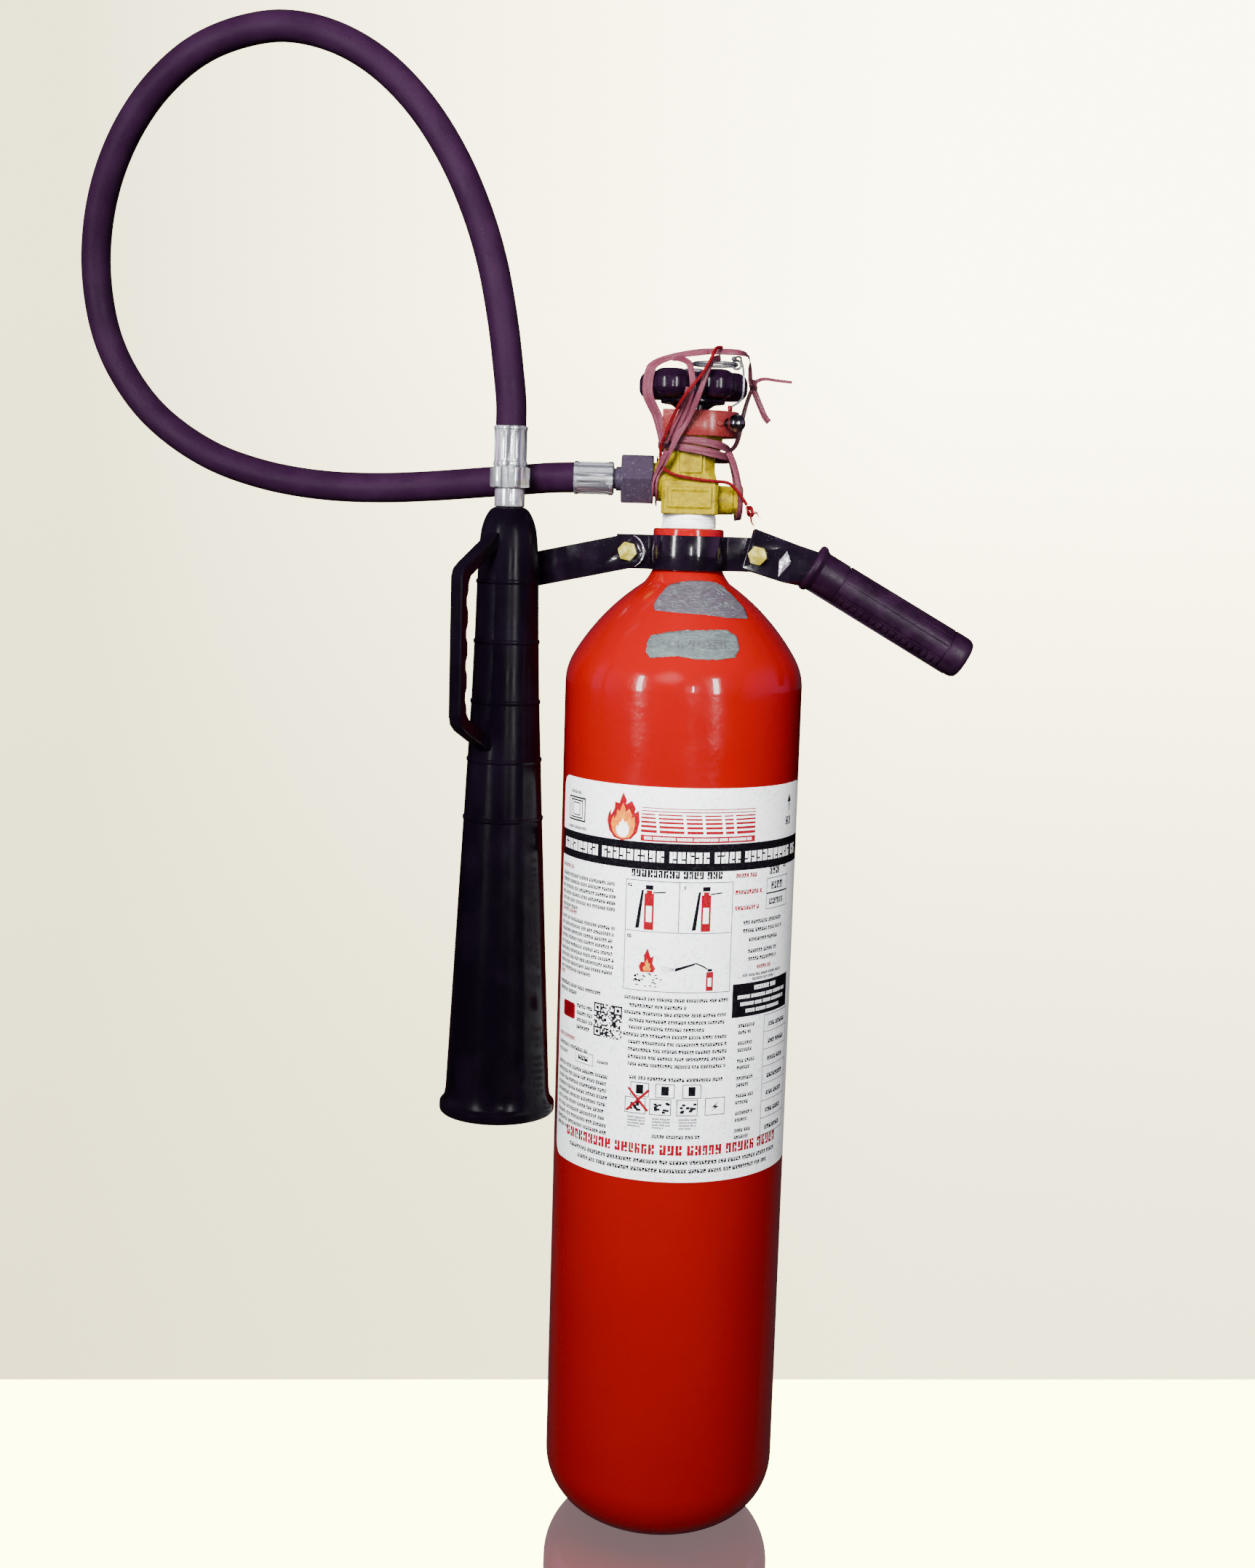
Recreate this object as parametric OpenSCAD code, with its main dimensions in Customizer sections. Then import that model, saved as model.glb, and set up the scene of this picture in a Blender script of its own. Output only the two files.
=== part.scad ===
// Hand-portable carbon dioxide fire extinguisher with hand-wheel valve, hose and horn.
// Millimetres. Origin on the bottle's axis at the floor, +Z up, -Y is the front, +X the handle side.

/* [Bottle] */
// outside diameter of the steel bottle
bottle_d = 140; // [100:1:200]
// wall thickness of the steel bottle
bottle_wall = 5.5; // [3:0.5:8]
// height where the straight wall ends and the shoulder begins
wall_top = 513.5; // [300:0.5:700]
// radius of the rounded bottom corner
base_corner = 37; // [10:1:45]
// height of the dished bottom at its centre
dish_h = 13; // [5:1:20]
// top of the neck
neck_top = 605; // [400:1:800]
// radius of the neck ring
neck_ring_r = 20.7; // [16:0.1:26]

/* [Label] */
// lower edge of the label
label_z0 = 231.4; // [100:0.1:400]
// upper edge of the label
label_z1 = 460.7; // [300:0.1:500]
// angle that the label wraps
label_arc = 155; // [90:1:200]
// thickness of the label
label_t = 0.25; // [0.1:0.05:0.6]

/* [Valve] */
// width of the forged valve block
block_w = 33; // [24:0.5:44]
// height of the valve block
block_h = 19; // [12:0.5:30]
// height of the outlet's axis
outlet_z = 632.8; // [600:0.1:660]
// across flats of the gland nut
gland_af = 32; // [24:1:40]
// across flats of the union nut
union_af = 27.5; // [22:0.5:34]
// radius of the chamber that the valve plug slides in
chamber_r = 8; // [5:0.5:10]
// radius of the upper spindle
spindle_r = 4; // [3:0.5:6]
// radial running clearance of turning and sliding fits
run_fit = 0.06; // [0.02:0.01:0.1]

/* [Hand wheel] */
// number of lobes on the wheel
lobes = 5; // [4:1:8]
// distance of a lobe's centre from the axis
lobe_at = 21.5; // [14:0.5:30]
// radius of one lobe
lobe_r = 11.2; // [6:0.1:16]
// underside of the lobes
wheel_z = 679.5; // [670:0.5:700]
// height of the lobes
wheel_h = 16; // [8:0.5:26]

/* [Safety clip] */
// inside radius of the clip's bend
clip_r = 19.4; // [17:0.1:26]
// thickness of the clip strip
clip_t = 1.6; // [1:0.1:3]
// height of the clip strip
clip_h = 14.6; // [8:0.1:20]
// diameter of the pull knob
knob_d = 10.4; // [6:0.1:14]

/* [Hose] */
// outside diameter of the hose
hose_d = 17.6; // [12:0.1:24]

/* [Horn] */
// distance of the horn's axis from the bottle's axis, to the side
horn_x = -103.8; // [-140:0.1:-90]
// distance of the horn's axis from the bottle's axis, to the front
horn_y = -20; // [-30:0.5:0]
// height of the horn's mouth
horn_z0 = 256; // [200:1:320]
// height of the horn's top
horn_z1 = 614.4; // [500:0.1:640]
// angle of the horn's handle, from the side towards the front
hh_angle = 62; // [0:1:90]

/* [Clamp and carrying handle] */
// height of the clamp band
band_h = 20; // [14:1:30]
// thickness of the clamp band
band_t = 2.6; // [2:0.1:4]
// height of the clamp's centre
band_z = 590.9; // [560:0.1:640]
// slope of the horn's arm
arm_slope = 12.6; // [0:0.1:30]
// slope of the handle's flat end
plate_slope = 15.2; // [0:0.1:40]
// slope of the grip
grip_slope = 29.7; // [0:0.1:60]
// diameter of the grip
grip_d = 24; // [20:0.5:34]

/* [Hidden] */

bottle_r = bottle_d / 2;
foot_r = bottle_r - base_corner;
band_in = neck_ring_r + 0.05;
band_out = band_in + band_t;
bolt_l = [-35.4, band_z];
bolt_r = [40.4, band_z - 0.4];
ear_y = 1.8;
grip_at = [73.4, -6.4, 584.5];
plug_x = 25.5;
plug_z = 622;
thread_r = 13.9;
stem_z0 = 579;
block_z = 613.4;
knuckle_r = 34;
crown_r = 130.3;
crown_c = [-47.2, 465.1];
crown_a = 30.2;

steel_grey = [0.62, 0.63, 0.66];
zinc = [0.72, 0.73, 0.75];
brass = [0.80, 0.62, 0.12];
red = [0.74, 0.06, 0.05];
black = [0.07, 0.05, 0.08];
rubber = [0.13, 0.09, 0.13];
salmon = [0.66, 0.27, 0.24];
pink = [0.66, 0.32, 0.42];
gold_zinc = [0.80, 0.74, 0.36];

function arc(c, r, a0, a1, n) = [for (i = [0:n]) let (a = a0 + (a1 - a0) * i / n)
  [c[0] + r * cos(a), c[1] + r * sin(a)]];
function unit(v) = v / norm(v);
function smooth_at(P, i, t) = let (n = len(P) - 1, a = P[max(i - 1, 0)], b = P[i], c = P[i + 1],
  d = P[min(i + 2, n)]) 0.5 * (2 * b + (c - a) * t + (2 * a - 5 * b + 4 * c - d) * t * t
  + (3 * b - a - 3 * c + d) * t * t * t);
function smooth_line(P, k) = concat([for (i = [0:len(P) - 2]) for (j = [0:k - 1]) smooth_at(P, i, j / k)],
  [P[len(P) - 1]]);
function tangents(P) = let (n = len(P) - 1) [for (i = [0:n]) unit(P[min(i + 1, n)] - P[max(i - 1, 0)])];
function frames(T, n, i = 0, acc = []) = i == len(T) ? acc :
  let (m = unit(n - (n * T[i]) * T[i])) frames(T, m, i + 1, concat(acc, [m]));

// closed tube of radius r along the points P, with s sides
module tube_along(P, r, s, up = [0.1, 0.3, 1]) {
  T = tangents(P);
  N = frames(T, up);
  n = len(P);
  pts = [for (i = [0:n - 1]) for (k = [0:s - 1]) let (a = 360 * k / s, b = cross(T[i], N[i]))
    P[i] + r * (cos(a) * N[i] + sin(a) * b)];
  sides = [for (i = [0:n - 2]) for (k = [0:s - 1]) let (a = i * s + k, b = i * s + (k + 1) % s)
    each [[a, a + s, b], [b, a + s, b + s]]];
  polyhedron(pts, concat(sides, [[for (k = [0:s - 1]) k]], [[for (k = [s - 1:-1:0]) (n - 1) * s + k]]));
}

// prism with its corners cut, centred, along z
module cut_prism(x, y, h, c) {
  linear_extrude(h) polygon([[-x / 2 + c, -y / 2], [x / 2 - c, -y / 2], [x / 2, -y / 2 + c],
    [x / 2, y / 2 - c], [x / 2 - c, y / 2], [-x / 2 + c, y / 2], [-x / 2, y / 2 - c],
    [-x / 2, -y / 2 + c]]);
}

// hexagon bar with both ends turned to a chamfer, flats at +-y
module hex_bar(af, h, cut) {
  intersection() {
    cylinder(d = af / cos(30), h = h, $fn = 6);
    rotate_extrude($fn = 96) polygon([[0, 0], [af / 2 - 0.2, 0], [af / 2 - 0.2 + cut * 2, cut],
      [af / 2 - 0.2 + cut * 2, h - cut], [af / 2 - 0.2, h], [0, h]]);
  }
}

module ring(r0, r1, h, z = 0) {
  translate([0, 0, z]) difference() {
    cylinder(r = r1, h = h, $fn = 96);
    translate([0, 0, -1]) cylinder(r = r0, h = h + 2, $fn = 96);
  }
}

// ---------------------------------------------------------------- bottle

module bottle_shell() {
  dish_c = (foot_r - 6) * (foot_r - 6) / (2 * (dish_h - 0.8)) + (dish_h - 0.8) / 2;
  dish_a = asin((foot_r - 6) / dish_c);
  t = bottle_wall;
  outer = concat(
    [for (i = [0:8]) let (a = dish_a * i / 8) [dish_c * sin(a), dish_h - dish_c + dish_c * cos(a)]],
    [[foot_r - 4.5, 0]],
    arc([foot_r, base_corner], base_corner, -90, 0, 14),
    arc([bottle_r - knuckle_r, wall_top], knuckle_r, 0, crown_a, 6),
    arc(crown_c, crown_r, crown_a + 2, 55.8, 9),
    [[24.2, 574.8], [22.6, 577], [21.3, 579.4], [neck_ring_r, 580.6], [neck_ring_r, 583], [17.5, 583],
     [17.5, neck_top]]);
  inner = concat([[14, neck_top]], arc(crown_c, crown_r - t, 60.6, crown_a + 2, 8),
    arc([bottle_r - knuckle_r, wall_top], knuckle_r - t, crown_a, 0, 6),
    arc([foot_r, base_corner], base_corner - t, 0, -90, 12),
    [for (i = [7:-1:0]) let (a = (dish_a - 4) * i / 8)
      [(dish_c + t) * sin(a), dish_h - dish_c + (dish_c + t) * cos(a)]]);
  color(red) rotate_extrude($fn = 128) polygon(concat(outer, inner));
}

module neck_ring() {
  color(red) rotate_extrude($fn = 96) polygon([[17.5, 583], [neck_ring_r - 0.6, 583],
    [neck_ring_r, 583.6], [neck_ring_r, neck_top - 0.8], [neck_ring_r - 0.8, neck_top], [17.5, neck_top]]);
}

module label() {
  color([0.90, 0.92, 0.94]) rotate([0, 0, -163]) rotate_extrude(angle = label_arc, $fn = 128)
    translate([bottle_r, label_z0]) square([label_t, label_z1 - label_z0]);
}

module thread_tape() {
  color([0.95, 0.95, 0.95]) rotate_extrude($fn = 64) polygon([[thread_r + 0.05, neck_top + 0.1],
    [15.9, neck_top + 0.1], [15.9, 608], [15.6, 608.4], [15.8, 610.5], [15.7, block_z - 0.1],
    [thread_r + 0.05, block_z - 0.1]]);
}

module dip_tube() {
  color(steel_grey) translate([0, 0, 26]) difference() {
    cylinder(r = 5, h = 566, $fn = 32);
    translate([0, 0, -1]) cylinder(r = 3.8, h = 600, $fn = 32);
    rotate([0, 35, 0]) translate([-12, -10, -16]) cube([24, 20, 16]);
  }
}

// ---------------------------------------------------------------- valve

module valve_solid() {
  cylinder(r = thread_r, h = block_z - stem_z0 + 1, $fn = 96);
  translate([0, 0, block_z - stem_z0]) cut_prism(block_w, block_w + 1, block_h, 2.2);
  translate([-12.6, -18, block_z - stem_z0 + 3.6]) cube([25.2, 3, block_h - 7.2]);
  translate([0, 0, block_z + block_h - 0.2 - stem_z0]) hull() {
    cut_prism(block_w - 2, block_w - 1, 0.2, 2.2);
    translate([0, 0, 6]) cut_prism(28, 28, 0.2, 6);
  }
  translate([0, 0, 637 - stem_z0]) cut_prism(28, 28, 13, 6);
  translate([-6.5, -15.6, 637 - stem_z0]) cube([13, 3, 12.4]);
  cylinder(r = 11, h = 656 - stem_z0, $fn = 64);
  // outlet
  translate([-19.4, 0, outlet_z - stem_z0]) rotate([0, 90, 0]) cylinder(r = 12.4, h = 12, $fn = 64);
  translate([-33.2, 0, outlet_z - stem_z0]) rotate([0, 90, 0]) cylinder(r = 9.9, h = 20, $fn = 64);
  // safety branch
  translate([14, 0, plug_z - stem_z0]) rotate([0, 90, 0]) cylinder(r1 = 8.5, r2 = 8.2, h = plug_x - 14, $fn = 48);
}

module valve_body() {
  color(brass) translate([0, 0, stem_z0]) difference() {
    valve_solid();
    translate([0, 0, -1]) cylinder(r = 5, h = 592 - stem_z0 + 1, $fn = 32);
    cylinder(r = 3, h = 60, $fn = 32);
    translate([0, 0, 626.5 - stem_z0]) cylinder(r = chamber_r, h = 40, $fn = 64);
    translate([-40, 0, outlet_z - stem_z0]) rotate([0, 90, 0]) cylinder(r = 4.6, h = 36, $fn = 32);
    translate([0, 0, plug_z - stem_z0]) rotate([0, 90, 0]) cylinder(r = 1.5, h = 20, $fn = 24);
    translate([10, 0, plug_z - stem_z0]) rotate([0, 90, 0]) cylinder(r = 4, h = 30, $fn = 32);
    translate([-10.6, -19, 616.4 + 2.2 - stem_z0]) cube([21.2, 1.7, block_h - 11]);
  }
}

module valve_seat() {
  color([0.93, 0.92, 0.88]) ring(3, chamber_r, 3, 626.5);
}

module valve_plug() {
  color(brass) translate([0, 0, 629.6]) difference() {
    union() {
      cylinder(r = 5, h = 1.4, $fn = 48);
      translate([0, 0, 1.4]) cylinder(r = chamber_r - run_fit, h = 11.8, $fn = 64);
    }
    translate([-9, -1.65, 4.4]) cube([18, 3.3, 9]);
  }
}

module spindle() {
  color(steel_grey) translate([0, 0, 638]) {
    intersection() {
      translate([-6.5, -1.5, 0]) cube([13, 3, 9.6]);
      cylinder(r = chamber_r - run_fit - 0.5, h = 10, $fn = 64);
    }
    translate([0, 0, 9.4]) cylinder(r = chamber_r - run_fit, h = 2.6, $fn = 64);
    translate([0, 0, 11]) cylinder(r = spindle_r, h = 27, $fn = 48);
    translate([-3, -3, 38]) cube([6, 6, 16]);
    translate([0, 0, 11]) cylinder(r = 3, h = 48.2, $fn = 32);
  }
}

module gland_packing() {
  color([0.94, 0.94, 0.92]) ring(spindle_r + run_fit, chamber_r, 3.2, 650.1);
}

module gland_nut() {
  color(brass) difference() {
    translate([0, 0, 650.1]) hex_bar(gland_af, 9, 1.1);
    translate([0, 0, 649]) cylinder(r = 11, h = 7.1, $fn = 64);
    translate([0, 0, 649]) cylinder(r = spindle_r + run_fit, h = 20, $fn = 48);
  }
  color(brass) ring(spindle_r + run_fit, chamber_r, 2.75, 653.35);
}

// ---------------------------------------------------------------- hand wheel

module wheel_lobe() {
  rotate_extrude($fn = 64) polygon(concat([[0, 0.6]], arc([lobe_r - 6.2, 6], 6.2, -80, -8, 6),
    arc([lobe_r - 6.6, wheel_h - 6.4], 6.6, 0, 82, 7), [[0, wheel_h - 0.2]]));
}

module hand_wheel() {
  color(black) translate([0, 0, wheel_z]) difference() {
    union() {
      for (k = [0:lobes - 1]) rotate([0, 0, -54 + 360 / lobes * k]) translate([lobe_at, 0, 0]) wheel_lobe();
      translate([0, 0, 1]) cylinder(r = 19.5, h = wheel_h - 2.5, $fn = 96);
      translate([0, 0, -2.5]) cylinder(r = 18.7, h = 4, $fn = 96);
      translate([0, 0, -8]) cylinder(r = 7.4, h = 8, $fn = 64);
      for (k = [0:3]) rotate([90, 0, 45 + 90 * k]) translate([0, 0, -1]) linear_extrude(2)
        polygon([[5, -7.8], [8, -7.8], [17, -3], [17, -1], [5, -1]]);
    }
    translate([0, 0, -10]) cylinder(r = 6, h = 40, $fn = 64);
    translate([0, 0, 12.5]) cylinder(r = 9, h = 10, $fn = 64);
  }
}

module wheel_insert() {
  color(brass) difference() {
    translate([0, 0, 676]) cylinder(r = 6, h = 16, $fn = 64);
    translate([-3, -3, 670]) cube([6, 6, 30]);
  }
}

module wheel_washer() {
  color(zinc) ring(3.1, 7.5, 1, 692);
}

module wheel_nut() {
  color(zinc) difference() {
    translate([0, 0, 693]) hex_bar(10, 4, 0.7);
    translate([0, 0, 690]) cylinder(r = 3, h = 12, $fn = 32);
  }
}

// ---------------------------------------------------------------- safety clip

module clip_plan(r) {
  polygon(concat([[-17, -r]], [for (i = [0:24]) let (a = -90 + 180 * i / 24) [6 + r * cos(a), r * sin(a)]],
    [[-17, r]]));
}

module clip_band() {
  color(salmon) translate([0, 0, 658]) difference() {
    linear_extrude(clip_h) clip_plan(clip_r + clip_t);
    translate([0, 0, -1]) linear_extrude(clip_h + 2) polygon(concat([[-19, -clip_r]],
      [for (i = [0:24]) let (a = -90 + 180 * i / 24) [6 + clip_r * cos(a), clip_r * sin(a)]],
      [[-19, clip_r]]));
  }
}

module clip_lug() {
  color(salmon) translate([6, 0, 0]) rotate([0, 0, -40]) translate([clip_r, -1.5, 658 + clip_h])
    cube([clip_t, 3, 3.2]);
}

module clip_rivet() {
  color(salmon) translate([6, 0, 665.4]) rotate([0, 0, -62]) rotate([0, 90, 0]) {
    translate([0, 0, clip_r + clip_t]) cylinder(r = 1.9, h = 0.7, $fn = 32);
  }
}

module clip_knob() {
  color(zinc) translate([6, 0, 665.4]) rotate([0, 0, -46.5]) rotate([0, 90, 0]) {
    translate([0, 0, clip_r + clip_t]) cylinder(r = 3.2, h = 0.9, $fn = 48);
    translate([0, 0, clip_r + clip_t + 0.9]) cylinder(r = 2.6, h = 0.8, $fn = 48);
    translate([0, 0, clip_r + clip_t + 1.7]) cylinder(r = 3.4, h = 1.1, $fn = 48);
    translate([0, 0, clip_r + clip_t + 1.7]) cylinder(r = 2.4, h = 4, $fn = 48);
    translate([0, 0, clip_r + clip_t + 7]) sphere(d = knob_d, $fn = 48);
  }
}

ring_eye = [24.8, 0, 699.9];
link_route = smooth_line([[24.9, 0, 702.6], [23.6, -2.2, 702.7], [23.2, -4, 703.2], [24.8, -6.2, 704],
  [26.6, -8.4, 703.4], [27, -12.6, 700.8], [27.8, -17.6, 697.6], [28.4, -20.4, 692.6], [28.6, -20.6, 685.6],
  [28.2, -19.4, 680.2], [26, -16.6, 677.4], [22.3, -13.68, 675.2]], 3);

module ring_link() {
  color(zinc) {
    translate(ring_eye) rotate([90, 0, 0]) rotate_extrude($fn = 32)
      polygon([[1.7, -0.45], [1.95, -0.7], [2.8, -0.7], [3.1, -0.4], [3.1, 0.4], [2.8, 0.7], [1.95, 0.7], [1.7, 0.45]]);
    tube_along(link_route, 0.6, 8);
    translate([22.9, -3.4, 703]) sphere(r = 1.5, $fn = 24);
  }
}

module pull_ring() {
  color(zinc) translate([ring_eye[0] - 12.6, 0, ring_eye[2]]) rotate_extrude($fn = 64)
    translate([12.6, 0]) circle(r = 1, $fn = 16);
}

// ---------------------------------------------------------------- safety branch

module burst_disc() {
  color([0.75, 0.45, 0.30]) translate([10, 0, plug_z]) rotate([0, 90, 0]) cylinder(r = 4, h = 0.5, $fn = 32);
}

module burst_washer() {
  color(brass) translate([10.5, 0, plug_z]) rotate([0, 90, 0]) ring(2, 4, 1.5);
}

module burst_plug() {
  color(brass) translate([12, 0, plug_z]) rotate([0, 90, 0]) difference() {
    union() {
      cylinder(r = 4, h = plug_x - 12, $fn = 32);
      translate([0, 0, plug_x - 12]) hex_bar(15, 5.6, 0.8);
    }
    translate([0, 0, -1]) cylinder(r = 1.6, h = 17, $fn = 24);
    translate([0, 0, plug_x - 12 + 3]) rotate([90, 0, 0]) cylinder(r = 0.9, h = 30, center = true, $fn = 16);
  }
}

// ---------------------------------------------------------------- hose ends

module union_seal() {
  color([0.9, 0.9, 0.88]) translate([-34.2, 0, outlet_z]) rotate([0, 90, 0]) ring(4.6, 9.2, 1);
}

module union_nut() {
  color([0.45, 0.42, 0.48]) translate([-40.3, 0, outlet_z]) rotate([0, 90, 0]) rotate([0, 0, 90]) difference() {
    hex_bar(union_af, 18.7, 1.3);
    translate([0, 0, 3.9]) cylinder(r = 9.9, h = 20, $fn = 64);
    translate([0, 0, -1]) cylinder(r = 7, h = 20, $fn = 64);
  }
}

module hose_tail() {
  color(zinc) translate([-68, 0, outlet_z]) rotate([0, 90, 0]) difference() {
    union() {
      cylinder(r = 4.8, h = 30, $fn = 48);
      translate([0, 0, 23.2]) cylinder(r = 6, h = 5, $fn = 48);
      translate([0, 0, 24.6]) cylinder(r = 7, h = 9, $fn = 48);
      translate([0, 0, 31.6]) cylinder(r = 9.5, h = 2.2, $fn = 48);
    }
    translate([0, 0, -1]) cylinder(r = 3.2, h = 40, $fn = 32);
  }
}

module crimp_ferrule() {
  difference() {
    rotate_extrude($fn = 96) polygon([[4.8, 0], [9.2, 0], [9.8, 0.8], [9.8, 1.8], [9.4, 2.4], [9.4, 20],
      [9.8, 20.6], [9.8, 22.4], [9, 23.2], [4.8, 23.2]]);
    for (k = [0:7]) rotate([0, 0, 45 * k + 20]) translate([9.05, -1.1, 3.4]) cube([2, 2.2, 15.6]);
  }
}

module ferrule_valve() {
  color(zinc) translate([-68, 0, outlet_z]) rotate([0, 90, 0]) crimp_ferrule();
}

hose_route = [[-68, 0, 632.8], [-82, 0.6, 632.2], [-102, 2.6, 630.3], [-124.5, 5, 628.2], [-151, 10, 625.8],
  [-180.5, 16, 624], [-210.5, 24, 624], [-239, 32, 626.5], [-265.5, 40, 631.6], [-291.5, 47, 640],
  [-316, 53, 653.3], [-336, 58, 669.5], [-351.5, 61, 689.5], [-361.8, 62, 711], [-366.6, 60, 734.5],
  [-367, 56, 759.5], [-362.2, 49, 785], [-352.8, 41, 809.5], [-338.3, 32, 833], [-319.3, 24, 854.2],
  [-295, 15, 871], [-268, 8, 880.6], [-239.5, 2, 883.3], [-210.5, -2, 876.8], [-184, -6, 862],
  [-160.5, -9, 839.6], [-141.6, -12, 812.4], [-127.3, -15, 783], [-117, -17.5, 752.8], [-110, -19, 720],
  [-106, -20, 692], [-104, -20, 674], [-103.8, -20, 660.7]];

module hose() {
  color(rubber) tube_along(smooth_line(hose_route, 2), hose_d / 2, 12, [0, 0.1, 1]);
}

module ferrule_horn() {
  color(zinc) translate([horn_x, horn_y, 660.4]) rotate([180, 0, 0]) crimp_ferrule();
}

module horn_adaptor() {
  color(zinc) translate([horn_x, horn_y, 0]) difference() {
    union() {
      translate([0, 0, 625.2]) rotate([0, 0, -9]) hex_bar(20.8, 12, 0.8);
      translate([0, 0, 616]) cylinder(r = 5, h = 12, $fn = 32);
      translate([0, 0, 637.2]) cylinder(r = 4.8, h = 23, $fn = 48);
      translate([0, 0, 636]) cylinder(r = 8, h = 1.2, $fn = 48);
    }
    translate([0, 0, 610]) cylinder(r = 3.2, h = 60, $fn = 32);
  }
}

module horn_collar() {
  color(zinc) translate([horn_x, horn_y, 0]) rotate_extrude($fn = 64) polygon([[5, horn_z1], [8.3, horn_z1],
    [8.7, horn_z1 + 0.5], [8.7, 624.6], [8.2, 625.2], [5, 625.2]]);
}

module diffuser() {
  color(brass) translate([horn_x, horn_y, 0]) difference() {
    union() {
      translate([0, 0, 598]) cylinder(r = 5, h = 18, $fn = 32);
      translate([0, 0, 596]) cylinder(r = 7, h = 4, $fn = 32);
    }
    translate([0, 0, 600]) cylinder(r = 3.2, h = 20, $fn = 32);
    for (k = [0:2]) rotate([0, 0, 120 * k]) translate([1.8, 0, 590]) cylinder(r = 0.9, h = 14, $fn = 16);
  }
}

// ---------------------------------------------------------------- horn

horn_rings = [[571.6, 17.75, 17.9], [537, 18.6, 18.8], [502, 19.8, 20], [468, 21.4, 21.6], [433.5, 23, 23.2]];
horn_outer = concat([[5, horn_z1], [8.6, horn_z1], [11.4, 612.2], [13.4, 609], [15.1, 604.4], [16.2, 599.4],
    [16.9, 593], [17.2, 588]],
  [for (q = horn_rings) each [[q[1], q[0] + 1.2], [q[1] + 0.7, q[0] + 0.8], [q[1] + 0.7, q[0] - 0.8],
    [q[2], q[0] - 1.2]]],
  [[30.8, 270.8], [31.6, 266], [33, 262.4], [34.4, 261.6], [34.4, horn_z0 + 1], [33.6, horn_z0]]);

module horn() {
  color(black) translate([horn_x, horn_y, 0]) rotate_extrude($fn = 96) polygon(concat(horn_outer,
    [[31.4, horn_z0], [29, 264], [28.3, 270.8], [20.5, 433.5], [17.3, 502], [15.1, 571.6], [14.2, 590],
     [12.8, 599.5], [11, 604], [9, 606.5], [5, 607.4]]));
}

// the horn's outer form, solid, that the pieces moulded on it are cut to
module horn_cutter() {
  rotate_extrude($fn = 96) polygon(concat([[0, horn_z1]], horn_outer, [[0, horn_z0]]));
}

module horn_peg() {
  color(black) translate([horn_x, horn_y, 575.6]) rotate([-90, 0, 0]) difference() {
    union() {
      translate([0, 0, 15]) cylinder(r = 6.5, h = 4.4, $fn = 48);
      translate([0, 0, 15]) cylinder(r = 4, h = 11.4, $fn = 48);
      translate([0, 0, 26.4]) cylinder(r1 = 4, r2 = 3, h = 1.4, $fn = 48);
    }
    rotate([90, 0, 0]) translate([0, 0, -575.6]) horn_cutter();
  }
}

module horn_handle() {
  color(black) translate([horn_x, horn_y, 0]) difference() {
    rotate([0, 0, 180 + hh_angle]) rotate([90, 0, 0]) translate([0, 0, -4]) difference() {
      linear_extrude(8) polygon([[12, 602], [20, 597.5], [46, 582.5], [50.5, 579], [52, 575], [52, 496],
        [50.6, 491], [46.5, 487.4], [22, 474.5], [14, 472], [14, 480], [21, 483.4], [42.6, 494.4], [45, 498],
        [45, 571], [43, 575], [18, 589.6], [12, 593.5]]);
      for (k = [0:3]) translate([36.8, 507 + 18 * k, -1]) cylinder(r = 9.8, h = 10, $fn = 48);
    }
    horn_cutter();
  }
}

// ---------------------------------------------------------------- clamp, arm and handle

module clamp_half(xe) {
  translate([0, 0, band_z - band_h / 2]) difference() {
    union() {
      cylinder(r = band_out, h = band_h, $fn = 96);
      translate([-xe[0], -ear_y - band_t, 0]) cube([xe[0] + xe[1], band_t, band_h]);
    }
    translate([0, 0, -1]) cylinder(r = band_in, h = band_h + 2, $fn = 96);
    translate([-60, -ear_y, -1]) cube([120, 60, band_h + 2]);
    for (b = [bolt_l, bolt_r]) translate([b[0], 0, b[1] - band_z + band_h / 2]) rotate([90, 0, 0])
      cylinder(r = 3, h = 20, $fn = 32);
  }
}

module clamp_front() {
  color(black) clamp_half([42, 47.5]);
}

module clamp_rear() {
  color(black) mirror([0, 1, 0]) clamp_half([42, 47.5]);
}

module clamp_bolts() {
  color(gold_zinc) for (b = [[bolt_l, -7.4], [bolt_r, -8.4]]) translate([b[0][0], b[1], b[0][1]])
    rotate([-90, 0, 0]) {
      translate([0, 0, -4]) rotate([0, 0, 12]) hex_bar(10, 4, 0.6);
      cylinder(r = 3, h = 13.5 - b[1], $fn = 32);
    }
}

module clamp_washers() {
  color(gold_zinc) for (b = [bolt_l, bolt_r]) translate([b[0], 4.4, b[1]]) rotate([-90, 0, 0]) ring(3, 6.2, 1.5);
}

module clamp_nuts() {
  color(gold_zinc) for (b = [bolt_l, bolt_r]) translate([b[0], 5.9, b[1]]) rotate([-90, 0, 0]) difference() {
    hex_bar(10, 5, 0.6);
    translate([0, 0, -1]) cylinder(r = 3, h = 10, $fn = 32);
  }
}

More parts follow.
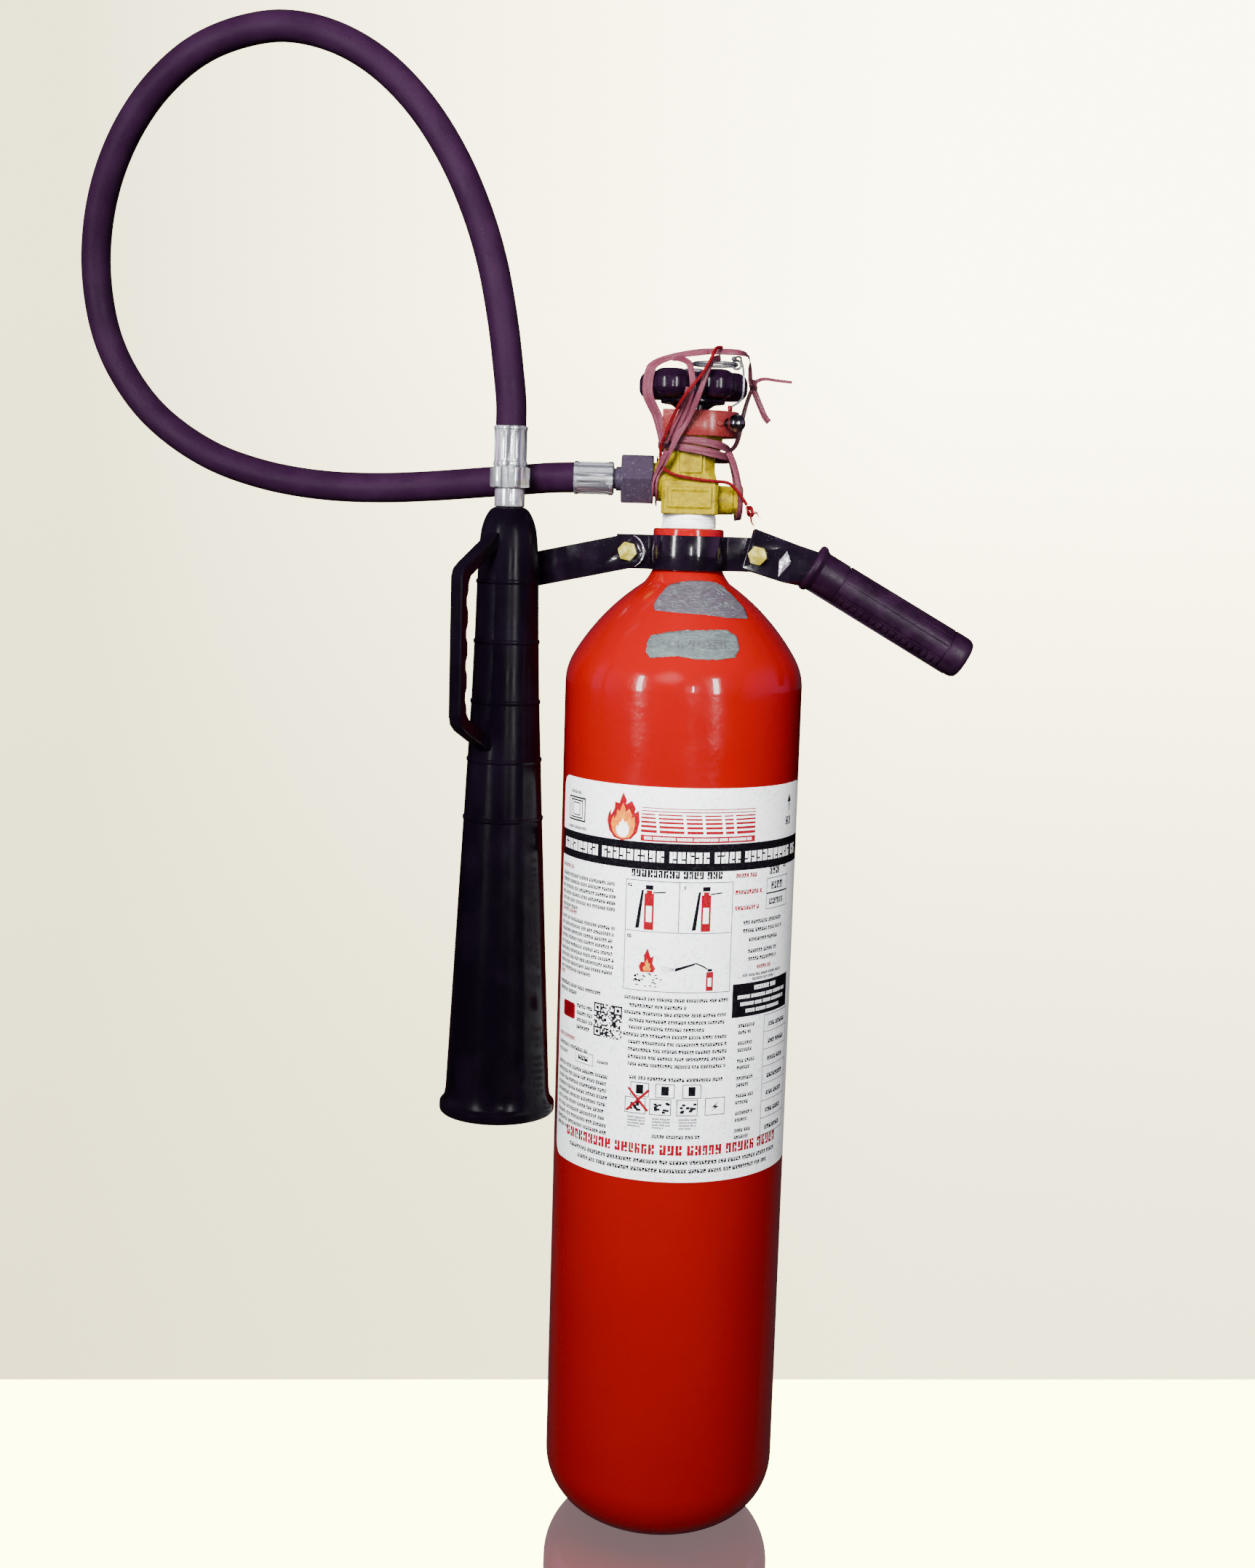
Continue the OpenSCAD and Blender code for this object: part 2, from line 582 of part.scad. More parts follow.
module horn_arm() {
  // plan of the strip in its own sloping frame, x to the left of the bolt
  l1 = 29;
  l2 = 51.5;
  l3 = 80;
  color(black) translate([bolt_l[0], 0, bolt_l[1]]) rotate([0, -arm_slope, 0]) difference() {
    union() {
      intersection() {
        translate([-l3, 0, -10]) linear_extrude(20) polygon([[l3, -7.4], [l3 - l1, -7.4], [l3 - l2, 1],
          [0, 1], [0, 4], [l3 - l2 - 0.6, 4], [l3 - l1 - 0.6, -4.4], [l3, -4.4]]);
        union() {
          translate([-l3 + 10, -10, -10]) cube([l3 - 10, 20, 20]);
          translate([-l3 + 10, -10, 0]) rotate([-90, 0, 0]) cylinder(r = 10, h = 20, $fn = 48);
        }
      }
      translate([0, -7.4, 0]) rotate([-90, 0, 0]) cylinder(r = 10, h = 3, $fn = 64);
    }
    translate([0, -10, 0]) rotate([-90, 0, 0]) cylinder(r = 3, h = 10, $fn = 32);
    translate([-(bolt_l[0] - horn_x) / cos(arm_slope), -2, 0]) rotate([-90, 0, 0]) cylinder(r = 5.6, h = 8, $fn = 48);
  }
}

module arm_grommet() {
  color(rubber) translate([horn_x, 0, 575.6 - 0.04]) rotate([-90, 0, 0]) rotate_extrude($fn = 64)
    polygon([[4 + run_fit, -0.4], [7.4, -0.4], [7.4, 1], [5.6, 1], [5.6, 4], [7.4, 4], [7.4, 5.4],
      [4 + run_fit, 5.4]]);
}

function slope_dir(a) = [cos(a), -sin(a)];
function slope_up(a) = [sin(a), cos(a)];

// the handle is one tube: pressed flat where it is bolted on, then swelling to round inside the grip
flat_top = [[37.6, 605.4], [39.2, 606], [66.5, 596.6]];
flat_bottom = [[56, 575.4], [33.2, 582], [32.4, 583.6]];

module handle_tube() {
  color(black) difference() {
    union() {
      translate([0, -4.4, 0]) rotate([90, 0, 0]) linear_extrude(4) polygon(concat(flat_top, flat_bottom));
      hull() {
        translate([0, -4.4, 0]) rotate([90, 0, 0]) linear_extrude(4)
          polygon([flat_top[2], flat_bottom[0], flat_bottom[0] - [0.4, -0.2], flat_top[2] - [0.4, -0.2]]);
        translate(grip_at) rotate([0, 90 + grip_slope, 0]) translate([2, 0, -2.2]) scale([1, 0.7, 1])
          cylinder(r = 11.4, h = 0.3, $fn = 40);
      }
      translate(grip_at) rotate([0, 90 + grip_slope, 0]) translate([0, 0, -2.2]) cylinder(r = 8, h = 96.2, $fn = 64);
    }
    translate([bolt_r[0], -12, bolt_r[1]]) rotate([-90, 0, 0]) cylinder(r = 3, h = 20, $fn = 32);
    translate(grip_at) rotate([0, 90 + grip_slope, 0]) translate([0, 0, 4]) cylinder(r = 6.4, h = 100, $fn = 64);
  }
}

module handle_grip() {
  r = grip_d / 2;
  color(rubber) translate(grip_at) rotate([0, 90 + grip_slope, 0]) difference() {
    union() {
      rotate_extrude($fn = 96) polygon([[0, -1.9], [r + 1, -1.9], [r + 1.9, -1.4], [r + 2.3, -0.4], [r + 2.3, 0.9],
        [r + 1.8, 2.1], [r + 0.9, 2.8], [r + 0.5, 3.6], [r, 4.4], [r, 18.2], [r - 0.6, 18.4], [r - 0.6, 19],
        [r + 0.1, 19.2], [r + 0.5, 90.2], [r - 0.4, 90.4], [r - 0.4, 91], [r + 0.5, 91.2], [r + 0.5, 99],
        [r + 0.1, 101.4], [r - 1, 103.2], [r - 2.6, 104], [3, 104], [2.4, 105], [0, 105.2]]);
      rotate([0, 0, -10]) translate([r - 1, -0.6, 3]) cube([2, 1.2, 94]);
      rotate([0, 0, 10]) translate([r - 1, -0.6, 3]) cube([2, 1.2, 94]);
    }
    translate([0, 0, -4]) cylinder(r = 8, h = 98, $fn = 64);
    for (a = [62, 100, 125, 139, 152, 165, 180, 195, 208, 221, 235, 260, 298])
      rotate([0, 0, a]) translate([r - 0.6, -0.5, 19.6]) cube([3, 1, 70]);
    for (a = [-38, 38]) rotate([0, 0, a]) {
      for (k = [0:15]) translate([r - 0.5, -2.8, 20.2 + 4.4 * k]) cube([3, 5.6, 1.2]);
      for (y = [-3.6, 2.8]) translate([r - 0.6, y, 19.6]) cube([3, 0.8, 70]);
    }
  }
}

// ---------------------------------------------------------------- tie ribbon and thread

module tie(P, r = 1.1, k = 3) {
  tube_along(smooth_line(P, k), r, 8);
}

module ribbon_left() {
  color(pink) tie([[-20.6, -3, 655], [-23.6, -10, 663], [-27.6, -18, 674], [-29.2, -19.4, 682],
    [-29.8, -19, 689], [-27.4, -22, 695.4], [-20, -20, 699], [-8, -17, 703], [6, -16.2, 705.4],
    [18, -16, 705.2], [27, -11, 705.2], [31, 2, 705.2], [33.6, 16.4, 702], [35, 23, 692.6]]);
}

module ribbon_mid() {
  color(pink) tie([[-12, -18.6, 701], [-8, -26, 700.4], [-3, -33.4, 697.4], [-1, -35.6, 690.4],
    [-0.6, -35.4, 684], [-1.8, -34.2, 678], [-4, -28.6, 671], [-8.6, -24, 661], [-11.4, -20, 654]]);
}

module ribbon_front() {
  color(pink) tie([[15, -19.5, 702], [11, -28, 700], [8.4, -35, 695.4], [6.4, -35.6, 689.4],
    [4.2, -35.4, 682.6], [1.4, -32, 675.6], [-3, -26, 666], [-8.4, -24.4, 656.6], [-12, -22.4, 649],
    [-15, -18.8, 642.4], [-18.4, -14.4, 636], [-20, -13.8, 631], [-20, -11.4, 625], [-20, -4, 619.6],
    [-20, 4, 619.6], [-20, 11.4, 625], [-20, 13.8, 632], [-20, 11.8, 640], [-20, 4.6, 645.8]]);
}

module ribbon_waist() {
  color(pink) tie([for (i = [0:24]) let (a = 190 + 30 * i, f = a - 270)
    [1.6 + (21.2 + 0.25 * sin(3 * a)) * cos(a), (20.7 + 0.25 * cos(2 * a)) * sin(a),
     i < 13 ? 655.2 - 1.75 * sin(f) - 3.5 * (1 - cos(f)) : 650.2 - 3.2 * sin(f) - 1.3 * (1 - cos(f))]], 1.1, 2);
}

module ribbon_right() {
  color(pink) tie([[35, 25, 689], [32, 25.6, 680], [29.6, 25, 670], [28, 24.2, 661], [26, 19, 654.6],
    [22.4, 12, 650.6]]);
}

module ribbon_tail() {
  color(pink) tie([[58.4, 27, 693.2], [50, 26.8, 693.9], [42, 26, 694.6], [37.4, 25, 693], [35.2, 24.4, 690.4],
    [36.6, 25, 686], [39.6, 25.8, 679.4], [43, 26.2, 672.4], [45.6, 26.2, 669.2]]);
}

module ribbon_plug() {
  color(pink) tie([[22, -8, 649.6], [24.8, -10.6, 643], [27.6, -12.4, 634], [29.2, -12.2, 625], [29.2, -9.6, 616],
    [28.8, -3.6, 611.2], [28.4, 4, 611.2], [28, 10, 616], [27.6, 12, 625], [26.4, 11, 634], [24.4, 9.6, 642],
    [22.6, 9, 647]]);
}

module ribbon_knot() {
  color(pink) translate([35.2, 24, 690.6]) scale([1, 1, 1.25]) sphere(r = 2.9, $fn = 24);
}

module seal_thread() {
  color([0.62, 0.06, 0.10]) tie([[15.4, -17.6, 708], [12, -26, 706.4], [9.4, -35.4, 699.6], [4.6, -38.4, 691],
    [-0.6, -38.6, 684.4], [-5.4, -37.2, 678], [-9.4, -31.6, 671.4], [-12.6, -26, 664], [-15.4, -23.4, 657],
    [-17.4, -17, 651.4], [-17.6, -13.6, 645], [-16.6, -15.8, 640.4], [-12, -18.6, 636.6], [-4, -19, 634.4],
    [6, -19, 633], [15, -18.6, 632.4], [22.4, -16.8, 631.4], [28, -16, 626.4], [33, -15, 619.6]], 1, 3);
}

module thread_knot() {
  color([0.62, 0.06, 0.10]) translate([35, -14.4, 616]) scale([1, 1, 1.4]) sphere(r = 2.7, $fn = 24);
}

bottle_shell();
neck_ring();
label();
thread_tape();
dip_tube();
valve_body();
valve_seat();
valve_plug();
spindle();
gland_packing();
gland_nut();
hand_wheel();
wheel_insert();
wheel_washer();
wheel_nut();
clip_band();
clip_lug();
clip_rivet();
clip_knob();
ring_link();
pull_ring();
burst_disc();
burst_washer();
burst_plug();
union_seal();
union_nut();
hose_tail();
ferrule_valve();
hose();
ferrule_horn();
horn_adaptor();
horn_collar();
diffuser();
horn();
horn_peg();
horn_handle();
clamp_front();
clamp_rear();
clamp_bolts();
clamp_washers();
clamp_nuts();
horn_arm();
arm_grommet();
handle_tube();
handle_grip();
ribbon_left();
ribbon_mid();
ribbon_front();
ribbon_waist();
ribbon_right();
ribbon_tail();
ribbon_plug();
ribbon_knot();
seal_thread();
thread_knot();
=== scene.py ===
import math
import random

import bmesh
import bpy
import numpy as np
from mathutils import Matrix, Vector


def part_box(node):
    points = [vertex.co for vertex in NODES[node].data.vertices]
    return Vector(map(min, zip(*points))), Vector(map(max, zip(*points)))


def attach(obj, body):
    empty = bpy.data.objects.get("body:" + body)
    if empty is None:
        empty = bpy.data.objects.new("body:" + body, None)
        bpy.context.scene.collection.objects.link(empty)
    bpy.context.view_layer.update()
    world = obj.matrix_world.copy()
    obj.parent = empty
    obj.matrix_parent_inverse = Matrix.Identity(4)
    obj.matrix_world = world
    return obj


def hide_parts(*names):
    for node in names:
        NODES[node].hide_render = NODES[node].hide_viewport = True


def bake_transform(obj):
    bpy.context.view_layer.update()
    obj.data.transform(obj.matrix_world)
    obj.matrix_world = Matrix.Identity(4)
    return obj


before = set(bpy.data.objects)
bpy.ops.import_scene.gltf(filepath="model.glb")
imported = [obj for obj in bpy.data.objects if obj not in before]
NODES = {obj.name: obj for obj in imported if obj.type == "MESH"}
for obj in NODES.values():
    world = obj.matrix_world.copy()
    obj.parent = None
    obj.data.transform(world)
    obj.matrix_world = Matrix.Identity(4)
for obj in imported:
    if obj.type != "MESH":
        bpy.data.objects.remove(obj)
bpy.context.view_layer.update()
MM = 0.001


# ---------------------------------------------------------------- helpers

def mm(*p):
    return Vector(p) * MM


def link(obj):
    bpy.context.scene.collection.objects.link(obj)
    return obj


def smooth_line(points, k):
    """The same smooth line through the points as the CAD source uses, k steps a span."""
    p = [Vector(q) for q in points]
    n = len(p) - 1
    out = []
    for i in range(n):
        a, b, c, d = p[max(i - 1, 0)], p[i], p[i + 1], p[min(i + 2, n)]
        for j in range(k):
            t = j / k
            out.append(0.5 * (2 * b + (c - a) * t + (2 * a - 5 * b + 4 * c - d) * t * t
                + (3 * b - a - 3 * c + d) * t ** 3))
    return out + [p[-1]]


def line_length(points):
    return sum((b - a).length for a, b in zip(points, points[1:]))


def evenly(points, n):
    """n + 1 points at equal distances along the line."""
    dist = np.cumsum([0] + [(b - a).length for a, b in zip(points, points[1:])])
    xyz = np.array([tuple(p) for p in points])
    at = np.linspace(0, dist[-1], n + 1)
    return [Vector(q) for q in np.stack([np.interp(at, dist, xyz[:, k]) for k in range(3)], 1)]


def carried_frames(points, up):
    """Tangent, side and normal at each point, carried along without twist."""
    n = len(points) - 1
    tang = [(points[min(i + 1, n)] - points[max(i - 1, 0)]).normalized() for i in range(n + 1)]
    normal = Vector(up)
    out = []
    for t in tang:
        normal = (normal - normal.dot(t) * t).normalized()
        out.append((t, normal.cross(t).normalized(), normal))
    return out


def new_mesh(name, verts, faces, mat, sharp=None, uv=None):
    mesh = bpy.data.meshes.new(name)
    mesh.from_pydata([tuple(v) for v in verts], [], faces)
    mesh.update()
    mesh.polygons.foreach_set("use_smooth", [True] * len(mesh.polygons))
    if sharp is not None:
        mesh.set_sharp_from_angle(angle=math.radians(sharp))
    if uv is not None:
        layer = mesh.uv_layers.new(name="UVMap")
        for loop in mesh.loops:
            layer.data[loop.index].uv = uv[loop.vertex_index]
    for m in (mat if isinstance(mat, (list, tuple)) else [mat]):
        mesh.materials.append(m)
    return link(bpy.data.objects.new(name, mesh))


def settle(obj, body, slot, *nodes):
    """obj rides on the body and stands for the CAD nodes, which it hides; the slot is not used."""
    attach(obj, body)
    if nodes:
        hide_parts(*nodes)
    return obj


def lathe(name, profile, mat, at=(0, 0, 0), axis=(0, 0, 1), segments=96, sharp=28, closed=False):
    """Turned piece: profile is (radius, height) in mm, at and axis place it, in mm."""
    turn = Vector((0, 0, 1)).rotation_difference(Vector(axis)).to_matrix()
    verts, faces, rows = [], [], []
    for r, z in profile:
        if r < 1e-6:
            rows.append([len(verts)])
            verts.append((turn @ Vector((0, 0, z)) + Vector(at)) * MM)
            continue
        rows.append(list(range(len(verts), len(verts) + segments)))
        for k in range(segments):
            a = 2 * math.pi * k / segments
            verts.append((turn @ Vector((r * math.cos(a), r * math.sin(a), z)) + Vector(at)) * MM)
    pairs = list(zip(rows, rows[1:])) + ([(rows[-1], rows[0])] if closed else [])
    for lower, upper in pairs:
        for k in range(segments):
            j = (k + 1) % segments
            if len(lower) == 1 and len(upper) == 1:
                continue
            if len(lower) == 1:
                faces.append((lower[0], upper[j], upper[k]))
            elif len(upper) == 1:
                faces.append((lower[k], lower[j], upper[0]))
            else:
                faces.append((lower[k], lower[j], upper[j], upper[k]))
    obj = new_mesh(name, verts, faces, mat, sharp)
    return outward(obj)


def outward(obj):
    bm = bmesh.new()
    bm.from_mesh(obj.data)
    bmesh.ops.recalc_face_normals(bm, faces=bm.faces)
    bm.to_mesh(obj.data)
    bm.free()
    return obj


def tube_mesh(points, radius, sides, up=(0.1, 0.3, 1), start=0):
    """Verts and faces of a closed tube along points; radius is a number or one for each point."""
    rows = carried_frames(points, up)
    n = len(points)
    radii = radius if hasattr(radius, "__len__") else [radius] * n
    verts, faces = [], []
    for p, (t, side, normal), r in zip(points, rows, radii):
        for k in range(sides):
            a = 2 * math.pi * k / sides
            verts.append(p + r * (math.cos(a) * side + math.sin(a) * normal))
    for i in range(n - 1):
        for k in range(sides):
            j = (k + 1) % sides
            faces.append((start + i * sides + k, start + i * sides + j,
                start + (i + 1) * sides + j, start + (i + 1) * sides + k))
    faces.append(tuple(start + k for k in range(sides))[::-1])
    faces.append(tuple(start + (n - 1) * sides + k for k in range(sides)))
    return verts, faces


def solid_copy(node, name, mat, join=0.0):
    """A welded copy of a CAD node's mesh to give it finer edges; faces within join degrees become one."""
    bm = bmesh.new()
    bm.from_mesh(NODES[node].data)
    bmesh.ops.remove_doubles(bm, verts=bm.verts, dist=0.00001)
    if join:
        bmesh.ops.dissolve_limit(bm, angle_limit=math.radians(join), verts=bm.verts, edges=bm.edges)
    mesh = bpy.data.meshes.new(name)
    bm.to_mesh(mesh)
    bm.free()
    if "custom_normal" in mesh.attributes:
        mesh.attributes.remove(mesh.attributes["custom_normal"])
    mesh.materials.clear()
    mesh.materials.append(mat)
    mesh.polygons.foreach_set("use_smooth", [True] * len(mesh.polygons))
    return link(bpy.data.objects.new(name, mesh))


def apply_modifiers(obj):
    graph = bpy.context.evaluated_depsgraph_get()
    graph.update()
    mesh = bpy.data.meshes.new_from_object(obj.evaluated_get(graph), preserve_all_data_layers=True,
        depsgraph=graph)
    obj.modifiers.clear()
    old = obj.data
    obj.data = mesh
    bpy.data.meshes.remove(old)
    return obj


def eased(node, mat, body, slot, bevel=0.35, segments=2, angle=32):
    """A machined or pressed piece: the CAD node with its edges broken by a small round."""
    obj = solid_copy(node, node + "_fine", mat, 0.3)
    m = obj.modifiers.new("ease", "BEVEL")
    m.width = bevel * MM
    m.segments = segments
    m.limit_method = "ANGLE"
    m.angle_limit = math.radians(angle)
    m.harden_normals = False
    m.miter_outer = "MITER_ARC"
    apply_modifiers(obj)
    obj.data.set_sharp_from_angle(angle=math.radians(38))
    return settle(obj, body, slot, node)


def moulded(node, mat, body, slot, voxel=0.4, rounds=6, factor=0.5):
    """A cast or moulded piece: the CAD node remeshed and softened, so that its corners have fillets."""
    obj = solid_copy(node, node + "_fine", mat)
    m = obj.modifiers.new("grid", "REMESH")
    m.mode = "VOXEL"
    m.voxel_size = voxel * MM
    m.use_smooth_shade = True
    s = obj.modifiers.new("soft", "SMOOTH")
    s.factor = factor
    s.iterations = rounds
    apply_modifiers(obj)
    return settle(obj, body, slot, node)


# ---------------------------------------------------------------- materials

ROUND = (1, 1, 1)
NOISE_DETAIL = 3.0


class Nodes:
    """A node tree under construction, with short ways to add the nodes that the materials use."""

    def __init__(self, name):
        self.mat = bpy.data.materials.new(name)
        self.mat.use_nodes = True
        self.tree = self.mat.node_tree
        self.bsdf = self.tree.nodes["Principled BSDF"]
        self.coord = self.tree.nodes.new("ShaderNodeTexCoord")

    def add(self, kind, **values):
        node = self.tree.nodes.new(kind)
        for key, value in values.items():
            setattr(node, key, value)
        return node

    def join(self, a, b):
        self.tree.links.new(a, b)

    def place(self, stretch, source):
        m = self.add("ShaderNodeMapping")
        m.inputs["Scale"].default_value = stretch
        self.join(self.coord.outputs[source], m.inputs["Vector"])
        return m.outputs["Vector"]

    def noise(self, scale, stretch=ROUND, source="Object"):
        where = self.place(stretch, source)
        n = self.add("ShaderNodeTexNoise")
        n.inputs["Scale"].default_value = scale
        n.inputs["Detail"].default_value = NOISE_DETAIL
        n.inputs["Roughness"].default_value = 0.5
        self.join(where, n.inputs["Vector"])
        return n.outputs["Fac"]

    def span(self, value, lo, hi, a=0.0, b=1.0):
        r = self.add("ShaderNodeMapRange", clamp=True)
        for key, number in (("From Min", lo), ("From Max", hi), ("To Min", a), ("To Max", b)):
            r.inputs[key].default_value = number
        self.join(value, r.inputs["Value"])
        return r.outputs["Result"]


def shader(name, base, rough, metal=0.0, coat=0.0, coat_rough=0.06, layers=(), rough_map=None, bumps=(),
        sheen=0.0, spec=0.5, source="Object"):
    """Procedural material, from noise. A stretch of the noise may end each of these.
    layers: (colour, scale, lo, hi, most); rough_map: (least, most, scale); bumps: (scale, metres)."""
    n = Nodes(name)
    b = n.bsdf
    b.inputs["Metallic"].default_value = metal
    b.inputs["Specular IOR Level"].default_value = spec
    b.inputs["Coat Weight"].default_value = coat
    b.inputs["Coat Roughness"].default_value = coat_rough
    b.inputs["Sheen Weight"].default_value = sheen
    b.inputs["Roughness"].default_value = rough
    b.inputs["Base Color"].default_value = (*base, 1)
    colour = None
    for tint, scale, lo, hi, most, *stretch in layers:
        mask = n.span(n.noise(scale, *stretch, source=source), lo, hi, 0, most)
        mix = n.add("ShaderNodeMix", data_type="RGBA")
        n.join(mask, mix.inputs["Factor"])
        if colour is None:
            mix.inputs["A"].default_value = (*base, 1)
        else:
            n.join(colour, mix.inputs["A"])
        mix.inputs["B"].default_value = (*tint, 1)
        colour = mix.outputs["Result"]
    if colour is not None:
        n.join(colour, b.inputs["Base Color"])
    if rough_map:
        lo, hi, scale, *stretch = rough_map
        n.join(n.span(n.noise(scale, *stretch, source=source), 0.3, 0.7, lo, hi), b.inputs["Roughness"])
    normal = None
    for scale, distance, *stretch in bumps:
        bump = n.add("ShaderNodeBump")
        bump.inputs["Distance"].default_value = distance
        bump.inputs["Strength"].default_value = 1.0
        n.join(n.noise(scale, *stretch, source=source), bump.inputs["Height"])
        if normal is not None:
            n.join(normal, bump.inputs["Normal"])
        normal = bump.outputs["Normal"]
    if normal is not None:
        n.join(normal, b.inputs["Normal"])
    return n.mat


RED = shader("red_gloss_paint", (0.180, 0.0002, 0.0006), 0.16, coat=0.7, coat_rough=0.04, spec=0.2,
    layers=[((0.15, 0.0002, 0.0008), 14, 0.35, 0.75, 0.5),
    ((0.40, 0.030, 0.020), 900, 0.74, 0.80, 0.3)],
    rough_map=(0.12, 0.24, 60), bumps=[(300, 0.00010), (70, 0.00016)])
FILM = shader("label_film", (0.86, 0.88, 0.90), 0.42, spec=0.3,
    layers=[((0.46, 0.49, 0.56), 480, 0.52, 0.66, 0.55),
    ((0.90, 0.91, 0.91), 60, 0.45, 0.65, 0.6)],
    rough_map=(0.36, 0.50, 200), bumps=[(90, 0.00006)])
TAPE = shader("thread_seal_tape", (0.84, 0.85, 0.83), 0.62,
    layers=[((0.50, 0.50, 0.52), 260, 0.50, 0.72, 0.6, (0.25, 0.25, 3))],
    bumps=[(420, 0.00035, (0.3, 0.3, 3)), (1800, 0.0001)])
# Cast brass; its fine light specks are a painted highlight.
CAST = shader("cast_brass", (0.215, 0.158, 0.0001), 0.26, metal=0.25, spec=0.3,
    layers=[((0.10, 0.062, 0.0001), 160, 0.48, 0.70, 0.8),
    ((0.42, 0.36, 0.001), 700, 0.54, 0.70, 0.6)],
    rough_map=(0.20, 0.40, 500),
    bumps=[(800, 0.00010), (2200, 0.00005)])
TURNED = shader("machined_brass", (0.255, 0.182, 0.0002), 0.24, metal=0.3, spec=0.35,
    layers=[((0.26, 0.16, 0.004), 120, 0.5, 0.8, 0.6)],
    rough_map=(0.16, 0.34, 700, (1, 1, 4)), bumps=[(1500, 0.00004, (1, 1, 5))])
STEEL = shader("turned_steel", (0.34, 0.34, 0.36), 0.3, metal=0.8,
    layers=[((0.16, 0.15, 0.17), 300, 0.5, 0.8, 0.6)],
    rough_map=(0.22, 0.42, 500, (1, 1, 5)), bumps=[(1500, 0.00003, (1, 1, 6))])
ZINC = shader("bright_zinc", (0.66, 0.68, 0.70), 0.2, metal=0.85,
    layers=[((0.24, 0.23, 0.27), 180, 0.45, 0.75, 0.7),
    ((0.85, 0.86, 0.88), 700, 0.58, 0.72, 0.6)],
    rough_map=(0.14, 0.28, 500), bumps=[(1300, 0.00004)])
# Zinc for the ferrules, with streaks painted along the axis: the white streaks are painted highlights and
# the dark streaks are painted reflections of a dark room. The roughness and bumps follow the same streaks.
REFLECTION_STREAKS = {}
for way, fine, long in (("x", (0.06, 1, 1), (0.02, 1, 1)), ("z", (1, 1, 0.06), (1, 1, 0.02))):
    REFLECTION_STREAKS[way] = shader("drawn_zinc_" + way, (0.62, 0.66, 0.68), 0.2, metal=0.80,
        layers=[((0.10, 0.09, 0.13), 330, 0.50, 0.60, 0.85, long),
        ((1.0, 1.0, 1.0), 520, 0.56, 0.62, 0.85, fine)],
        rough_map=(0.12, 0.26, 400, fine), bumps=[(900, 0.00005, fine)])
BALL = shader("polished_ball", (0.36, 0.38, 0.39), 0.16, metal=1.0,
    layers=[((0.16, 0.15, 0.18), 220, 0.45, 0.72, 0.7)],
    rough_map=(0.10, 0.26, 400), bumps=[(900, 0.00004)])
MAUVE = shader("dull_zinc", (0.030, 0.022, 0.036), 0.26, metal=0.35,
    layers=[((0.040, 0.026, 0.050), 260, 0.45, 0.72, 0.8),
    ((0.30, 0.27, 0.32), 900, 0.62, 0.76, 0.4)],
    rough_map=(0.20, 0.32, 300), bumps=[(1400, 0.00001)])
WIRE = shader("drawn_wire", (0.30, 0.30, 0.33), 0.22, metal=0.8,
    layers=[((0.10, 0.09, 0.11), 500, 0.5, 0.7, 0.6)],
    rough_map=(0.18, 0.36, 600), bumps=[(2000, 0.00003)])
BAKELITE = shader("black_bakelite", (0.0042, 0.0009, 0.0048), 0.2, coat=0.15, spec=0.3,
    layers=[((0.009, 0.0028, 0.010), 160, 0.45, 0.75, 0.7)],
    rough_map=(0.14, 0.28, 300), bumps=[(500, 0.00004)])
SALMON = shader("copper_red_strip", (0.108, 0.010, 0.010), 0.24, metal=0.2, coat=0.25, coat_rough=0.16,
    layers=[((0.09, 0.007, 0.007), 160, 0.42, 0.72, 0.7),
    ((0.26, 0.06, 0.05), 900, 0.55, 0.75, 0.5)],
    rough_map=(0.18, 0.34, 400), bumps=[(1200, 0.00006)])
RUBBER = shader("hose_rubber", (0.0092, 0.0022, 0.0100), 0.50, spec=0.12,
    layers=[((0.015, 0.0045, 0.016), 40, 0.45, 0.75, 0.7),
    ((0.045, 0.022, 0.045), 700, 0.70, 0.80, 0.35, (1, 1, 0.6))],
    rough_map=(0.42, 0.62, 80), bumps=[(1500, 0.00012), (240, 0.00012)])
HORN = shader("horn_plastic", (0.0012, 0.0006, 0.0018), 0.22, spec=0.08,
    layers=[((0.0035, 0.0018, 0.0050), 30, 0.45, 0.75, 0.7)],
    rough_map=(0.18, 0.32, 90, (1, 1, 0.5)), bumps=[(260, 0.00005, (1, 1, 0.5)), (40, 0.0002)])
ENAMEL = shader("black_enamel", (0.0020, 0.0010, 0.0028), 0.15, coat=0.9, coat_rough=0.06,
    layers=[((0.006, 0.003, 0.008), 90, 0.45, 0.75, 0.7),
    ((0.12, 0.10, 0.13), 1300, 0.71, 0.77, 0.4)],
    rough_map=(0.10, 0.22, 120), bumps=[(300, 0.00008)])
GOLD = shader("yellow_zinc", (0.24, 0.20, 0.012), 0.28, metal=0.4,
    layers=[((0.48, 0.44, 0.13), 260, 0.42, 0.62, 0.8),
    ((0.20, 0.14, 0.02), 700, 0.52, 0.70, 0.6)],
    rough_map=(0.22, 0.40, 500), bumps=[(1300, 0.0001)])
# Grip rubber; its lighter blotches are a painted highlight standing in for the lit ridges.
GRIP = shader("grip_rubber", (0.0058, 0.0011, 0.0062), 0.32, spec=0.3,
    layers=[((0.015, 0.0048, 0.016), 70, 0.42, 0.75, 0.85)],
    rough_map=(0.32, 0.52, 160), bumps=[(1400, 0.0001)])
